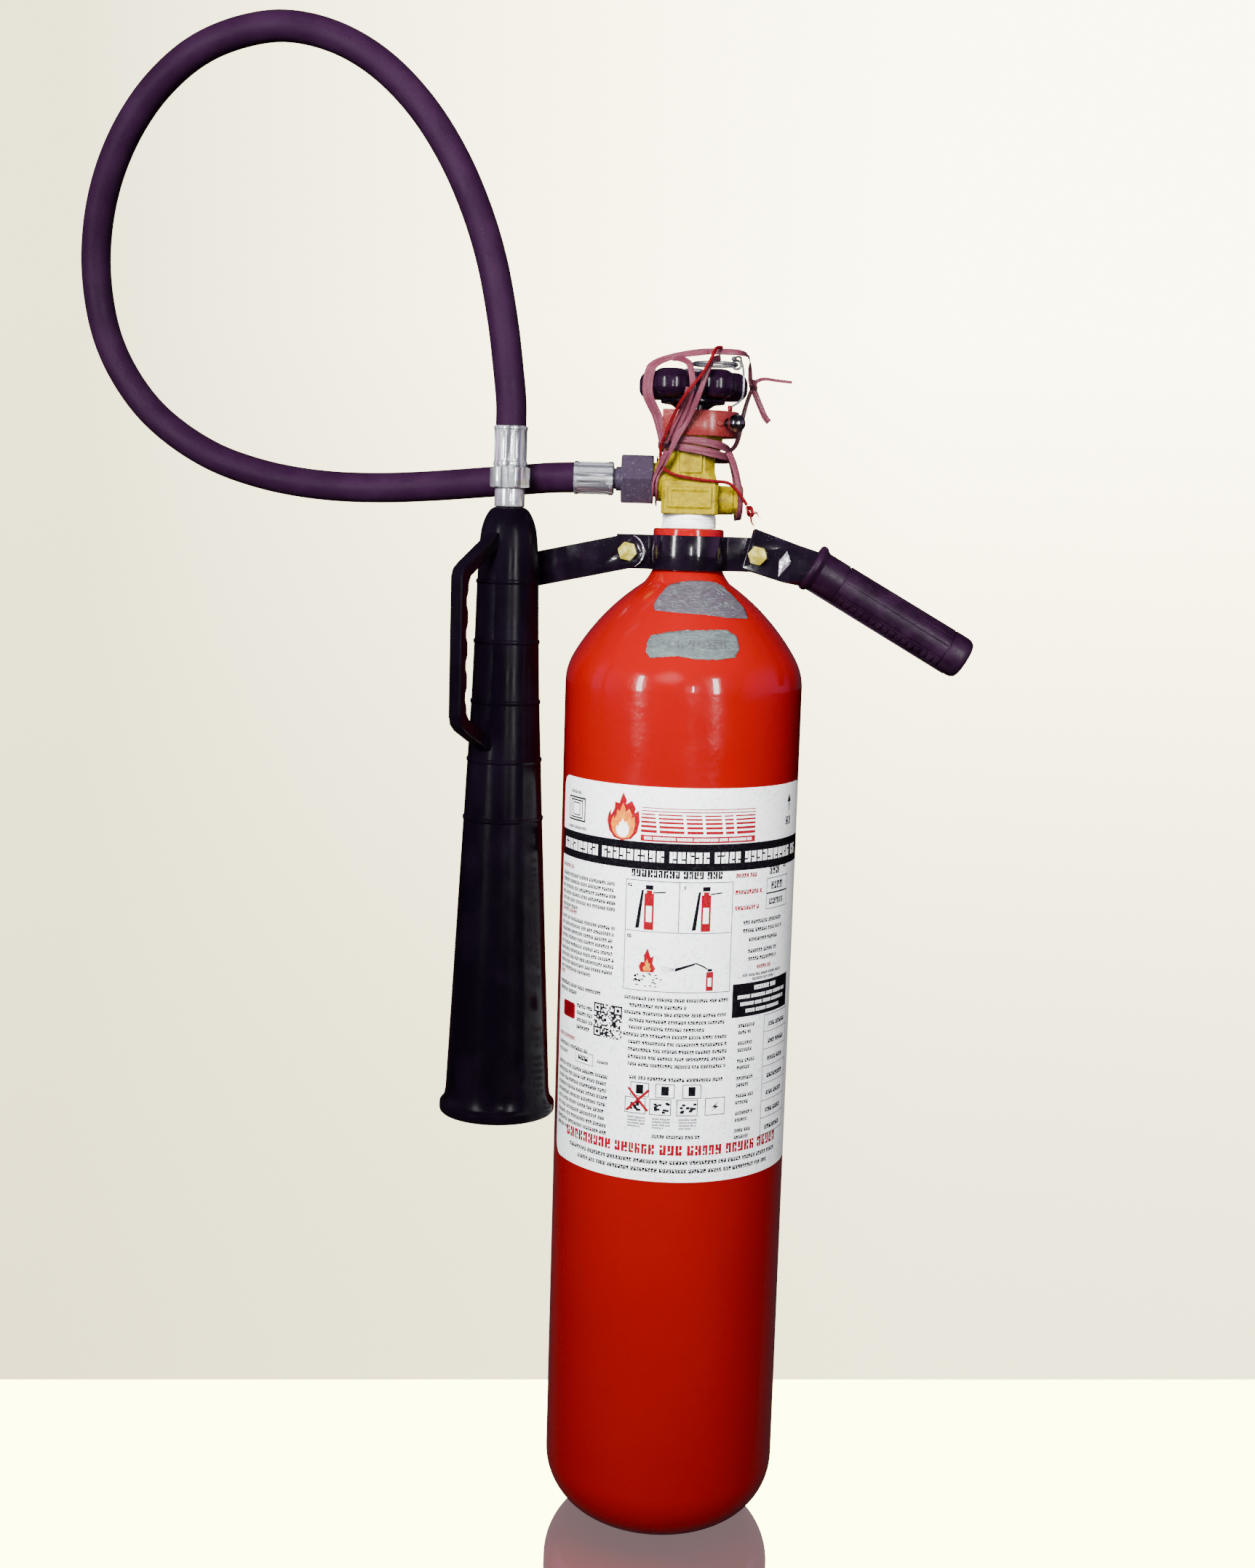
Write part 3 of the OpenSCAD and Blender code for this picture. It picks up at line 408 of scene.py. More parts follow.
# Satin ribbon; its lighter patches are a painted sheen highlight.
RIBBON = shader("tie_ribbon", (0.072, 0.0135, 0.024), 0.30, coat=0.2, coat_rough=0.2, source="UV",
    layers=[((0.19, 0.058, 0.088), 7, 0.50, 0.66, 0.6, (3, 30, 1)),
    ((0.030, 0.004, 0.009), 6, 0.52, 0.70, 0.75, (4, 12, 1))],
    rough_map=(0.24, 0.44, 9, (4, 40, 1)),
    bumps=[(30, 0.00022, (1, 0.06, 1)), (9, 0.0004, (0.6, 16, 1))])
THREAD = shader("red_thread", (0.065, 0.0004, 0.0022), 0.55, spec=0.2,
    layers=[((0.16, 0.004, 0.008), 1500, 0.48, 0.66, 0.7)], bumps=[(2600, 0.00016)])
COPPER = shader("copper_foil", (0.60, 0.28, 0.14), 0.3, metal=0.9,
    layers=[((0.35, 0.14, 0.06), 300, 0.5, 0.7, 0.6)])
BARE = shader("brushed_bare_steel", (0.062, 0.056, 0.068), 0.42, metal=0.3,
    layers=[((0.050, 0.036, 0.055), 90, 0.42, 0.66, 0.8, (1, 1, 3)),
    ((0.22, 0.23, 0.25), 900, 0.50, 0.72, 0.6, (0.4, 0.4, 3))],
    rough_map=(0.34, 0.52, 600, (0.4, 0.4, 4)), bumps=[(900, 0.00012, (0.3, 0.3, 3))])
BARE_LOW = shader("brushed_bare_steel_low", (0.078, 0.100, 0.100), 0.42, metal=0.3,
    layers=[((0.045, 0.050, 0.055), 70, 0.42, 0.66, 0.8, (0.6, 0.6, 4)),
    ((0.24, 0.27, 0.27), 900, 0.50, 0.72, 0.6, (0.4, 0.4, 3))],
    rough_map=(0.34, 0.52, 600, (0.4, 0.4, 4)), bumps=[(900, 0.00012, (0.3, 0.3, 3))])
BLACK_INK = shader("ink_black", (0.002, 0.0016, 0.0026), 0.42, spec=0.03,
    layers=[((0.02, 0.02, 0.026), 900, 0.5, 0.75, 0.5)])
RED_INK = shader("ink_red", (0.17, 0.001, 0.006), 0.42, spec=0.04,
    layers=[((0.34, 0.03, 0.04), 700, 0.5, 0.75, 0.5)])
WHITE_INK = shader("ink_white", (0.84, 0.85, 0.86), 0.36,
    layers=[((0.74, 0.76, 0.78), 700, 0.5, 0.75, 0.5)])
ORANGE_INK = shader("ink_orange", (0.50, 0.10, 0.004), 0.36,
    layers=[((0.60, 0.26, 0.01), 300, 0.45, 0.62, 0.8)])


# ---------------------------------------------------------------- camera

YAW, PITCH, ROLL = -0.0278, 0.1314, -0.0298
CAMERA_AT = (0, -1.1307, 0.60224)
camera = bpy.data.objects.new("camera", bpy.data.cameras.new("camera"))
link(camera)
forward = Vector((math.sin(YAW) * math.cos(PITCH), math.cos(YAW) * math.cos(PITCH), -math.sin(PITCH)))
right = Vector((math.cos(YAW), -math.sin(YAW), 0))
down = forward.cross(right)
right, down = (math.cos(ROLL) * right + math.sin(ROLL) * down,
    -math.sin(ROLL) * right + math.cos(ROLL) * down)
camera.matrix_world = Matrix.Translation(CAMERA_AT) @ Matrix((right, -down,
-forward)).transposed().to_4x4()
camera.data.sensor_width = 36
camera.data.lens = 43.82
camera.data.clip_start = 0.05
bpy.context.scene.camera = camera


# ---------------------------------------------------------------- cords: hose and seal thread

HOSE_D = 17.6
HOSE_STEPS = 260
# The route of part.scad's hose. It comes from a fitting program and was lightly rounded, so it isn't
# chosen by hand.
HOSE_ROUTE = [(-68, 0, 632.8), (-82, 0.6, 632.2), (-102, 2.6, 630.3), (-124.5, 5, 628.2),
    (-151, 10, 625.8),
    (-180.5, 16, 624), (-210.5, 24, 624), (-239, 32, 626.5), (-265.5, 40, 631.6), (-291.5, 47, 640),
    (-316, 53, 653.3), (-336, 58, 669.5), (-351.5, 61, 689.5), (-361.8, 62, 711), (-366.6, 60, 734.5),
    (-367, 56, 759.5), (-362.2, 49, 785), (-352.8, 41, 809.5), (-338.3, 32, 833), (-319.3, 24, 854.2),
    (-295, 15, 871), (-268, 8, 880.6), (-239.5, 2, 883.3), (-210.5, -2, 876.8), (-184, -6, 862),
    (-160.5, -9, 839.6), (-141.6, -12, 812.4), (-127.3, -15, 783), (-117, -17.5, 752.8), (-110, -19, 720),
    (-106, -20, 692), (-104, -20, 674), (-103.8, -20, 660.7)]


def make_hose():
    """The tube is laid out straight, then its points are moved onto its route."""
    line = evenly([p * MM for p in smooth_line(HOSE_ROUTE, 12)], HOSE_STEPS)
    long = line_length(line)
    straight = [Vector((0, 0, long * i / HOSE_STEPS)) for i in range(HOSE_STEPS + 1)]
    verts, faces = tube_mesh(straight, HOSE_D / 2 * MM, 40, up=(1, 0, 0))
    obj = new_mesh("hose_tube", verts, faces, RUBBER, 40)
    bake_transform(obj)
    placed, _ = tube_mesh(line, HOSE_D / 2 * MM, 40, up=(0, 0.1, 1))
    obj.data.vertices.foreach_set("co", np.array([tuple(v) for v in placed]).ravel())
    obj.data.update()
    outward(obj)
    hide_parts("hose")
    return obj


THREAD_ROUTE = [(15.4, -17.6, 708), (12, -26, 706.4), (9.4, -35.4, 699.6), (4.6, -38.4, 691),
    (-0.6, -38.6, 684.4),
    (-5.4, -37.2, 678), (-9.4, -31.6, 671.4), (-12.6, -26, 664), (-15.4, -23.4, 657),
    (-17.4, -17, 651.4), (-17.6, -13.6, 645), (-16.6, -15.8, 640.4), (-12, -18.6, 636.6),
    (-4, -19, 634.4), (6, -19, 633), (15, -18.6, 632.4), (22.4, -16.8, 631.4), (28, -16, 626.4),
    (33, -15, 619.6)]


THREAD_STEPS = 420
STRAND = 0.52
TWIST_PITCH = 0.0042


def make_thread():
    """Three strands of radius STRAND, in mm, twisted round each other."""
    line = evenly([p * MM for p in smooth_line(THREAD_ROUTE, 8)], THREAD_STEPS)
    long = line_length(line)
    rows = carried_frames(line, (0.1, 0.3, 1))
    verts, faces = [], []
    for strand in range(3):
        path = []
        for i, (p, (t, side, normal)) in enumerate(zip(line, rows)):
            a = 2 * math.pi * (strand / 3 + i / THREAD_STEPS * long / TWIST_PITCH)
            path.append(p + STRAND * MM * (math.cos(a) * side + math.sin(a) * normal))
        v, f = tube_mesh(path, STRAND * MM, 8, start=len(verts))
        verts += v
        faces += f
    obj = settle(new_mesh("seal_thread_twist", verts, faces, THREAD), "bottle", "red_thread",
    "seal_thread")
    return obj


make_hose()
make_thread()


# ---------------------------------------------------------------- bottle

def arc(c, r, a0, a1, n):
    return [(c[0] + r * math.cos(math.radians(a)), c[1] + r * math.sin(math.radians(a)))
        for a in (a0 + (a1 - a0) * i / n for i in range(n + 1))]


CROWN = (arc((36, 513.5), 34, 0, 30.2, 10) + arc((-47.2, 465.1), 130.3, 31, 55.8, 20)
    + [(25.1, 573.6), (24.2, 574.8), (22.6, 577), (21.3, 579.4), (20.7, 580.8), (20.7, 583), (17.5, 583)])
dish = [(27 * k / 8, 13 - 12.2 * (k / 8) ** 2) for k in range(9)]
settle(lathe("bottle_skin", dish + [(28, 0.25), (28.5, 0)] + arc((33, 37), 37, -90, 0, 20) + CROWN
    + [(17.5, 605), (14, 605), (14, 596)], RED, segments=192), "bottle", "red_paint", "bottle_shell")
settle(lathe("neck_ring_skin", [(17.5, 583.1), (20.6, 583.1), (20.7, 583.4), (20.7, 603.4), (20.5, 604.3),
    (19.9, 604.9), (19, 605), (16, 605)], RED, segments=128), "bottle", "red_paint", "neck_ring")
tape = [(13.9, 605.1), (15.7, 605.2), (15.9, 605.8), (15.8, 607.4), (15.6, 608), (15.75, 608.5),
    (15.7, 609.6),
    (15.55, 610.2), (15.8, 610.7), (15.75, 612), (15.5, 612.8), (15.2, 613.3), (13.9, 613.3)]
tape_obj = lathe("thread_tape_wrap", tape, TAPE, segments=160)
for v in tape_obj.data.vertices:
    a = math.atan2(v.co.y, v.co.x)
    lift = 1 + 0.012 * math.sin(3 * a + v.co.z * 900) + 0.006 * math.sin(11 * a + v.co.z * 2400)
    v.co.x *= lift
    v.co.y *= lift
settle(tape_obj, "bottle", "ptfe", "thread_tape")


def crown_radius(z):
    pts = sorted([(p[1], p[0]) for p in CROWN[:-2]])
    return float(np.interp(z, [p[0] for p in pts], [p[1] for p in pts]))


def shoulder_patch(name, edges, ragged, seed, mat, step=1.0, lift=0.12):
    """A patch of bare metal on the shoulder: edges are (azimuth, z) corners, in degrees and mm."""
    draw = random.Random(seed)
    outline = []
    for (a0, z0), (a1, z1) in zip(edges, edges[1:] + edges[:1]):
        span = math.hypot((a1 - a0) * 0.9, z1 - z0)
        n = max(2, int(span / step))
        for i in range(n):
            t = i / n
            outline.append((a0 + (a1 - a0) * t + draw.uniform(-1, 1) * ragged / 0.9,
                z0 + (z1 - z0) * t + draw.uniform(-1, 1) * ragged))
    bm = bmesh.new()
    bm.faces.new([bm.verts.new((a, 0, z)) for a, z in outline])
    for k in range(-60, 80, 2):
        bmesh.ops.bisect_plane(bm, geom=bm.verts[:] + bm.edges[:] + bm.faces[:], plane_co=(k, 0, 0),
        plane_no=(1, 0, 0))
    for z in range(526, 580, 2):
        bmesh.ops.bisect_plane(bm, geom=bm.verts[:] + bm.edges[:] + bm.faces[:], plane_co=(0, 0, z),
        plane_no=(0, 0, 1))
    for v in bm.verts:
        a, z = math.radians(v.co.x), v.co.z
        r = crown_radius(z) + lift
        v.co = mm(r * math.sin(a), -r * math.cos(a), z + lift * 0.6)
    mesh = bpy.data.meshes.new(name)
    bm.to_mesh(mesh)
    bm.free()
    mesh.materials.append(mat)
    mesh.polygons.foreach_set("use_smooth", [True] * len(mesh.polygons))
    obj = link(bpy.data.objects.new(name, mesh))
    s = obj.modifiers.new("thick", "SOLIDIFY")
    s.thickness = 0.0001
    s.offset = -1
    apply_modifiers(obj)
    return settle(obj, "bottle", "steel")


# About half of these corners come from a program that projected points onto the crown. The others are
# given one by one.
shoulder_patch("bare_patch_upper", [(-24, 571.8), (-18, 573.4), (0, 575), (20, 575.4), (42, 574.6),
    (50, 573.2), (53, 568), (53, 560), (48.6, 554.6), (30, 555.2), (12, 556.8), (-5, 557.4), (-24, 558.2),
    (-27, 561), (-26.6, 566)], 0.16, 3, BARE)
shoulder_patch("bare_patch_lower", [(-20.2, 544.5), (-9, 547.2), (3, 548.2), (16, 548.6), (26.7, 548.6),
    (31.9, 545), (30.6, 538.6), (27, 533.8), (18, 532.6), (6, 532.4), (-3, 533.9), (-17.6, 532.4),
    (-20.4, 536), (-21, 540.6)], 0.28, 5, BARE_LOW)


def stamped_marks(name, rows, seed, mat):
    """Short raised ridges in rows, where the real shoulder has stamped characters."""
    draw = random.Random(seed)
    verts, faces = [], []
    for a0, a1, z, h, chance in rows:
        a = a0
        while a < a1:
            if draw.random() < chance:
                for k in range(draw.choice((1, 2, 2))):
                    low = z + h * draw.choice((0, 0, 0.45))
                    tall = h * draw.choice((0.4, 0.55, 1.0))
                    lean = draw.uniform(-1.2, 1.2)
                    at = a + k * draw.uniform(1.6, 2.6)
                    base = len(verts)
                    for zz, aa in ((low, at), (min(low + tall, z + h), at + lean)):
                        r = crown_radius(zz)
                        for da, lift in ((-0.5, 0.10), (-0.2, 0.42), (0.2, 0.42), (0.5, 0.10)):
                            q = math.radians(aa + da * 52 / r)
                            verts.append(mm((r + lift) * math.sin(q), -(r + lift) * math.cos(q),
                            zz + lift * 0.6))
                    b = base
                    faces += [(b, b + 1, b + 5, b + 4), (b + 1, b + 2, b + 6, b + 5), (b + 2, b + 3,
                    b + 7, b + 6),
                        (b + 3, b, b + 4, b + 7), (b, b + 3, b + 2, b + 1), (b + 4, b + 5, b + 6, b + 7)]
            a += draw.uniform(4.6, 6.4)
    settle(outward(new_mesh(name, verts, faces, mat, 30)), "bottle", "steel")


stamped_marks("stamped_marks_upper", [(-16, 48, 567.6, 3.6, 0.8), (-18, 44, 560.4, 3.6, 0.75)], 21,
    BARE_LOW)
stamped_marks("stamped_marks_lower", [(-8, 24, 538, 4.4, 0.85)], 22, BARE)


# ---------------------------------------------------------------- label

class Print:
    """Flat printed shapes in label coordinates (mm along the wall from the front, mm above the floor)."""

    def __init__(self, radius):
        self.radius = radius
        self.shapes = {}

    def poly(self, mat, points, layer=1):
        self.shapes.setdefault((mat, layer), []).append(points)

    def box(self, mat, s0, s1, z0, z1, layer=1):
        self.poly(mat, [(s0, z0), (s1, z0), (s1, z1), (s0, z1)], layer)

    def frame(self, mat, s0, s1, z0, z1, t=0.35, layer=1):
        self.box(mat, s0, s1, z0, z0 + t, layer)
        self.box(mat, s0, s1, z1 - t, z1, layer)
        self.box(mat, s0, s0 + t, z0 + t, z1 - t, layer)
        self.box(mat, s1 - t, s1, z0 + t, z1 - t, layer)

    def words(self, mat, s0, s1, z, h, seed, layer=1, fill=1.0, aspect=0.60, bold=0.30):
        """A line of made-up marks, broken uprights with a dash, where the real label has text."""
        draw = random.Random(seed)
        end = s0 + (s1 - s0) * fill
        s = s0
        while s < end - h * 0.6:
            for _ in range(draw.randint(3, 9)):
                w = h * aspect * draw.uniform(0.8, 1.15)
                t = min((bold if h > 3 else 0.36) * h, w * 0.44)
                if s + w > end:
                    break
                broken = draw.choice((0, 1))
                for k, at in enumerate((s, s + w - t)):
                    if k == broken:
                        cut = draw.choice((0.22, 0.40, 0.58))
                        self.box(mat, at, at + t, z, z + cut * h, layer)
                        self.box(mat, at, at + t, z + (cut + 0.16) * h, z + h, layer)
                    else:
                        self.box(mat, at, at + t, z, z + h, layer)
                level = draw.choice((0.04, 0.40, 0.74)) if h > 3 else draw.choice((0.0, 0.2, 0.45))
                self.box(mat, s + t, s + w - t, z + level * h, z + (level + (0.22 if h > 3 else 0.5)) * h,
                layer)
                s += w + (0.15 if h > 3 else 0.12) * h
            s += 0.36 * h

    def lines(self, mat, s0, s1, z_top, pitch, count, h, seed, last=0.6, **more):
        h = min(h * 1.18, pitch * 0.62)
        for k in range(count):
            self.words(mat, s0, s1, z_top - h - k * pitch, h, seed + k,
            fill=last if k == count - 1 else 1.0, **more)

    def make(self, name, body, slot):
        for index, ((mat, layer), shapes) in enumerate(self.shapes.items()):
            bm = bmesh.new()
            for points in shapes:
                bm.faces.new([bm.verts.new((s, 0, z)) for s, z in points])
            lo = int(min(p[0] for q in shapes for p in q)) - 1
            hi = int(max(p[0] for q in shapes for p in q)) + 2
            for s in range(lo - lo % 2, hi, 2):
                bmesh.ops.bisect_plane(bm, geom=bm.verts[:] + bm.edges[:] + bm.faces[:],
                    plane_co=(s, 0, 0), plane_no=(1, 0, 0))
            r = self.radius + 0.035 * layer
            for v in bm.verts:
                a = v.co.x / self.radius
                v.co = mm(r * math.sin(a), -r * math.cos(a), v.co.z)
            bmesh.ops.recalc_face_normals(bm, faces=bm.faces)
            mesh = bpy.data.meshes.new(f"{name}_{index}")
            bm.to_mesh(mesh)
            bm.free()
            mesh.materials.append(mat)
            settle(link(bpy.data.objects.new(f"{name}_{index}_{mat.name}", mesh)), body, slot)


LABEL_R = 70.25


def make_label():
    s0, s1, z0, z1, corner = -89.4, 100.4, 231.4, 460.7, 8
    cols = ([s0 + corner * (1 - math.cos(math.radians(9 * k))) for k in range(11)]
        + [s0 + corner + (s1 - s0 - 2 * corner) * k / 90 for k in range(1, 90)]
        + [s1 - corner * (1 - math.cos(math.radians(9 * k))) for k in range(10, -1, -1)])
    verts, faces = [], []
    for s in cols:
        d = max(0.0, corner - min(s - s0, s1 - s))
        cut = corner - math.sqrt(max(corner ** 2 - d ** 2, 0))
        a = s / LABEL_R
        for r in (70.02, LABEL_R):
            for z in (z0 + cut, z1 - cut):
                verts.append(mm(r * math.sin(a), -r * math.cos(a), z))
    for i in range(len(cols) - 1):
        a, b = 4 * i, 4 * i + 4
        faces += [(a + 2, a + 3, b + 3, b + 2), (a, b, b + 1, a + 1), (a, a + 2, b + 2, b), (a + 1, b + 1,
        b + 3, a + 3)]
    last = 4 * (len(cols) - 1)
    faces += [(0, 1, 3, 2), (last, last + 2, last + 3, last + 1)]
    settle(outward(new_mesh("label_film", verts, faces, FILM, 30)), "bottle", "label_print", "label")

    p = Print(LABEL_R)
    # plain square mark, plain flame, striped block and an up arrow
    for inset in (0, 2.6, 5.2):
        p.frame(BLACK_INK, -80 + inset, -61.4 - inset, 435.4 + inset * 0.62, 449.6 - inset * 0.62,
        1.0 - inset * 0.06)
    p.words(BLACK_INK, -77, -65, 451.4, 1.7, 901)
    p.words(BLACK_INK, -80, -59, 430.8, 1.7, 902)
    flame = [(-33, 456.4), (-30.6, 452), (-31, 449.6), (-27.4, 452), (-25, 447.6), (-25.6, 445),
    (-23, 446.6),
        (-22.4, 440.4), (-23.8, 434), (-27.4, 430), (-33, 428.8), (-38.4, 430), (-42, 434), (-43.4, 439.4),
        (-42.6, 443.6), (-41, 446), (-40.8, 442.6), (-38.6, 446.4), (-38.2, 450.6), (-35.4, 449.8),
        (-34.4, 453)]
    p.poly(RED_INK, flame, 1)
    p.poly(ORANGE_INK, [(-33 + (s + 33) * 0.74, 429.8 + (z - 428.8) * 0.74) for s, z in flame], 2)
    p.poly(WHITE_INK, [(-33 + (s + 33) * 0.40, 430.6 + (z - 428.8) * 0.40) for s, z in flame], 3)
    for k, (z, h) in enumerate([(448.4, 0.5), (446.6, 0.6), (444.6, 0.8), (442.4, 1.0), (440, 1.2),
    (437.4, 1.4), (434.6, 1.6)]):
        p.box(RED_INK, -21.6, 47, z, z + h)
        if k > 1:
            for gap in (-14, 1.6, 12.4, 24, 31):
                p.box(FILM, gap + 0.3 * k, gap + 1.6 + 0.3 * k, z - 0.1, z + h + 0.1, 2)
    p.box(RED_INK, -21.6, 47, 429.6, 433.2)
    p.words(WHITE_INK, -19.6, 45.6, 430.6, 1.7, 903, layer=2, aspect=0.85)
    p.poly(BLACK_INK, [(79.4, 454.6), (77, 449.8), (78.9, 449.8), (78.9, 444.6), (79.9, 444.6),
    (79.9, 449.8), (81.8, 449.8)])
    p.words(BLACK_INK, 75.8, 82.6, 436.4, 5.0, 904, aspect=0.5)
    # title band
    p.box(BLACK_INK, s0, s1, 413.4, 429.0)
    p.words(WHITE_INK, -85, 96.5, 418.0, 6.3, 905, layer=2, aspect=0.58)
    # left column
    p.words(RED_INK, -87, -71, 406.8, 2.3, 910)
    p.lines(BLACK_INK, -87, -36, 404.0, 3.7, 6, 1.8, 911, 0.4)
    p.words(RED_INK, -87, -66, 380.6, 2.3, 920)
    p.lines(BLACK_INK, -87, -36, 378.2, 3.75, 9, 1.8, 921, 0.7)
    p.words(RED_INK, -87, -80, 343.0, 2.3, 930)
    p.lines(BLACK_INK, -87, -44, 339.0, 3.9, 2, 1.9, 931, 0.5)
    p.box(RED_INK, -81, -66.6, 318.6, 327.0)
    p.box(RED_INK, -80, -67.6, 318.0, 327.6)
    p.lines(BLACK_INK, -64.6, -50.4, 328.4, 4.2, 4, 2.0, 940, 1.0)
    cells = random.Random(11)
    p.box(WHITE_INK, -50.2, -29.0, 311.6, 333.4, 1)
    for i in range(21):
        for j in range(21):
            corner_box = (i < 6 or i > 14) and (j < 6 or j > 14) and not (i > 14 and j < 6)
            ci, cj = (i if i < 6 else i - 15), (j if j < 6 else j - 15)
            ring = corner_box and (ci in (0, 5) or cj in (0, 5) or (1 < ci < 4 and 1 < cj < 4))
            if ring or (not corner_box and cells.random() < 0.5):
                p.box(BLACK_INK, -49.4 + 0.94 * i, -48.46 + 0.94 * i, 312.6 + 0.94 * j, 313.54 + 0.94 * j,
                2)
    p.words(RED_INK, -86, -66, 305.4, 2.3, 950)
    p.lines(BLACK_INK, -86, -54, 302.4, 4.4, 2, 1.9, 951, 0.42)
    p.frame(BLACK_INK, -64.6, -49.0, 293.6, 300.6, 0.45)
    p.words(BLACK_INK, -62, -52, 295.4, 3.0, 955, aspect=0.9)
    p.words(BLACK_INK, -46, -38, 296.4, 1.9, 956)
    p.lines(BLACK_INK, -86, -38, 290.4, 4.15, 10, 1.9, 960, 0.3)
    # instruction boxes
    p.words(BLACK_INK, -26.4, 27.6, 409.0, 4.3, 970, aspect=0.6)
    p.frame(BLACK_INK, -29.6, 33.4, 343.2, 407.2, 0.45)
    p.box(BLACK_INK, -29.4, 33.2, 377.6, 378.0)
    p.box(BLACK_INK, 1.5, 1.95, 378.0, 407)
    for c in (-15.4, 17.2):
        p.box(RED_INK, c - 2.8, c + 2.8, 378.8, 399.8, 2)
        p.box(WHITE_INK, c - 1.7, c + 1.7, 383.4, 392.6, 3)
        p.box(RED_INK, c - 1.6, c + 1.6, 399.8, 401.6, 2)
        p.box(BLACK_INK, c - 2.2, c + 2.2, 402.0, 404.6, 2)
        p.poly(BLACK_INK, [(c - 4.6, 401.4), (c - 3.2, 401.8), (c - 5.6, 379.6), (c - 8.0, 379.2)], 2)
        p.poly(BLACK_INK, [(c - 4.9, 400.4), (c - 4.2, 400.6), (c - 1.6, 403.2), (c - 1.6, 402.6)], 2)
        p.poly(BLACK_INK, [(c + 2.2, 400.6), (c + 9.4, 401.4), (c + 9.4, 400.6), (c + 2.2, 399.9)], 2)
        p.words(BLACK_INK, c - 13.0, c - 10.4, 403.0, 2.0, int(c) + 60, 2)
    p.words(BLACK_INK, -28.0, -25.0, 373.4, 2.2, 981, 2)
    blaze = [(-15.4, 368.4), (-13.6, 363), (-11.6, 364), (-12.4, 359.6), (-10.6, 356.8), (-11.8, 354.4),
    (-19.2, 354.2), (-20.4, 357.4), (-19, 360.2), (-17.2, 360), (-17.6, 364)]
    p.poly(RED_INK, blaze, 2)
    p.poly(ORANGE_INK, [(-15.6 + (s + 15.6) * 0.5, 355 + (z - 354.4) * 0.5) for s, z in blaze], 3)
    for k in range(26):
        a = cells.uniform(0, 2 * math.pi)
        q = cells.uniform(0, 1) ** 0.5
        s, z = -16 + 8.4 * q * math.cos(a), 349.4 + 4.6 * q * math.sin(a)
        p.box(BLACK_INK, s, s + 1.3, z, z + 0.7, 2)
    p.poly(BLACK_INK, [(0.6, 357.4), (0.4, 355.4), (12.0, 359.6), (12.2, 360.8)], 2)
    for k in range(4):
        p.poly(BLACK_INK, [(-8.0, 353.6 + 1.5 * k), (-7.8, 353.8 + 1.5 * k), (0, 356.4 + 0.3 * k),
        (0, 356.1 + 0.3 * k)], 2)
    p.box(RED_INK, 18.6, 22.8, 344.4, 355.4, 2)
    p.box(WHITE_INK, 19.6, 21.8, 347.0, 352.0, 3)
    p.box(BLACK_INK, 19.4, 22, 355.6, 357.2, 2)
    p.poly(BLACK_INK, [(12.0, 360.2), (12.2, 361.0), (17, 359), (19.6, 357.2), (19.4, 356.5),
    (16.6, 358.2)], 2)
    # instructions in lines
    for k, fill in enumerate((1, 0.58, 1, 1, 0.76, 1, 1, 1, 1, 1)):
        first = k in (0, 2, 5)
        p.words(BLACK_INK, -28.6 if first else -25.4, 33.0, 337.6 - 4.3 * k, 2.15, 1000 + k, fill=fill)
    p.words(BLACK_INK, -24, 31.6, 291.0, 2.3, 1020)
    # class boxes
    for k, (a, b) in enumerate(((-23.2, -12.0), (-8.4, 2.8), (7.2, 18.2))):
        p.frame(BLACK_INK, a, b, 281.2, 289.6, 0.5)
        p.box(BLACK_INK, a + 3.4, b - 3.4, 282.8, 288.2)
        p.frame(BLACK_INK, a - 3.2, b - 1.8, 270.9, 280.6, 0.5)
        for _ in range(12):
            s, z = cells.uniform(a - 1.6, b - 4.4), cells.uniform(272, 277.6)
            p.box(BLACK_INK, s, s + 1.9, z, z + 1.3)
    p.poly(RED_INK, [(-26.0, 272.6), (-24.6, 272), (-11.4, 285), (-12.6, 286)], 3)
    p.poly(RED_INK, [(-25.0, 285.4), (-24.0, 286.4), (-12, 273.4), (-13.2, 272.4)], 3)
    p.frame(BLACK_INK, 20.6, 33.0, 271.0, 281.4, 0.5)
    p.poly(BLACK_INK, [(29.4, 279.4), (24.6, 275.6), (26.8, 275.4), (23.6, 272.8), (29.4, 276.2),
    (27.2, 276.6)])
    for a in (-24.4, -9.8, 5.6):
        p.lines(BLACK_INK, a, a + 10.6, 269.2, 1.75, 4, 1.0, int(a) + 1100, 0.7)
    # right column
    p.words(RED_INK, 35, 51, 409.0, 2.6, 1200)
    p.words(BLACK_INK, 60.4, 72, 409.0, 5.4, 1201, aspect=0.5)
    p.words(BLACK_INK, 74.6, 79, 411.8, 2.2, 1202)
    p.words(RED_INK, 35, 54.6, 399.4, 2.6, 1203)
    p.frame(BLACK_INK, 58, 80.6, 398.2, 407.2, 0.45)
    p.words(BLACK_INK, 62.4, 75.4, 400.2, 4.6, 1204, aspect=0.5)
    p.words(RED_INK, 35, 53.4, 390.2, 2.6, 1205)
    p.frame(BLACK_INK, 58, 80.6, 388.8, 398.2, 0.45)
    p.words(BLACK_INK, 60.8, 78, 391.4, 3.6, 1206, aspect=0.7)
    for k, (a, b) in enumerate(((41, 76), (41, 75), (45.4, 71.4), (45, 71), (45.4, 70))):
        p.words(BLACK_INK, a, b, (381.6, 376.8, 371.4, 364.6, 360)[k], 2.3, 1210 + k)
    p.words(RED_INK, 52.4, 64.6, 354.8, 2.3, 1220)
    p.words(BLACK_INK, 41.8, 77, 350.9, 1.7, 1221)
    p.words(BLACK_INK, 49, 68, 348.3, 1.7, 1222)
    p.box(BLACK_INK, 35.4, 87.0, 327.4, 347.2)
    p.words(WHITE_INK, 51, 71, 342.6, 2.6, 1230, 2)
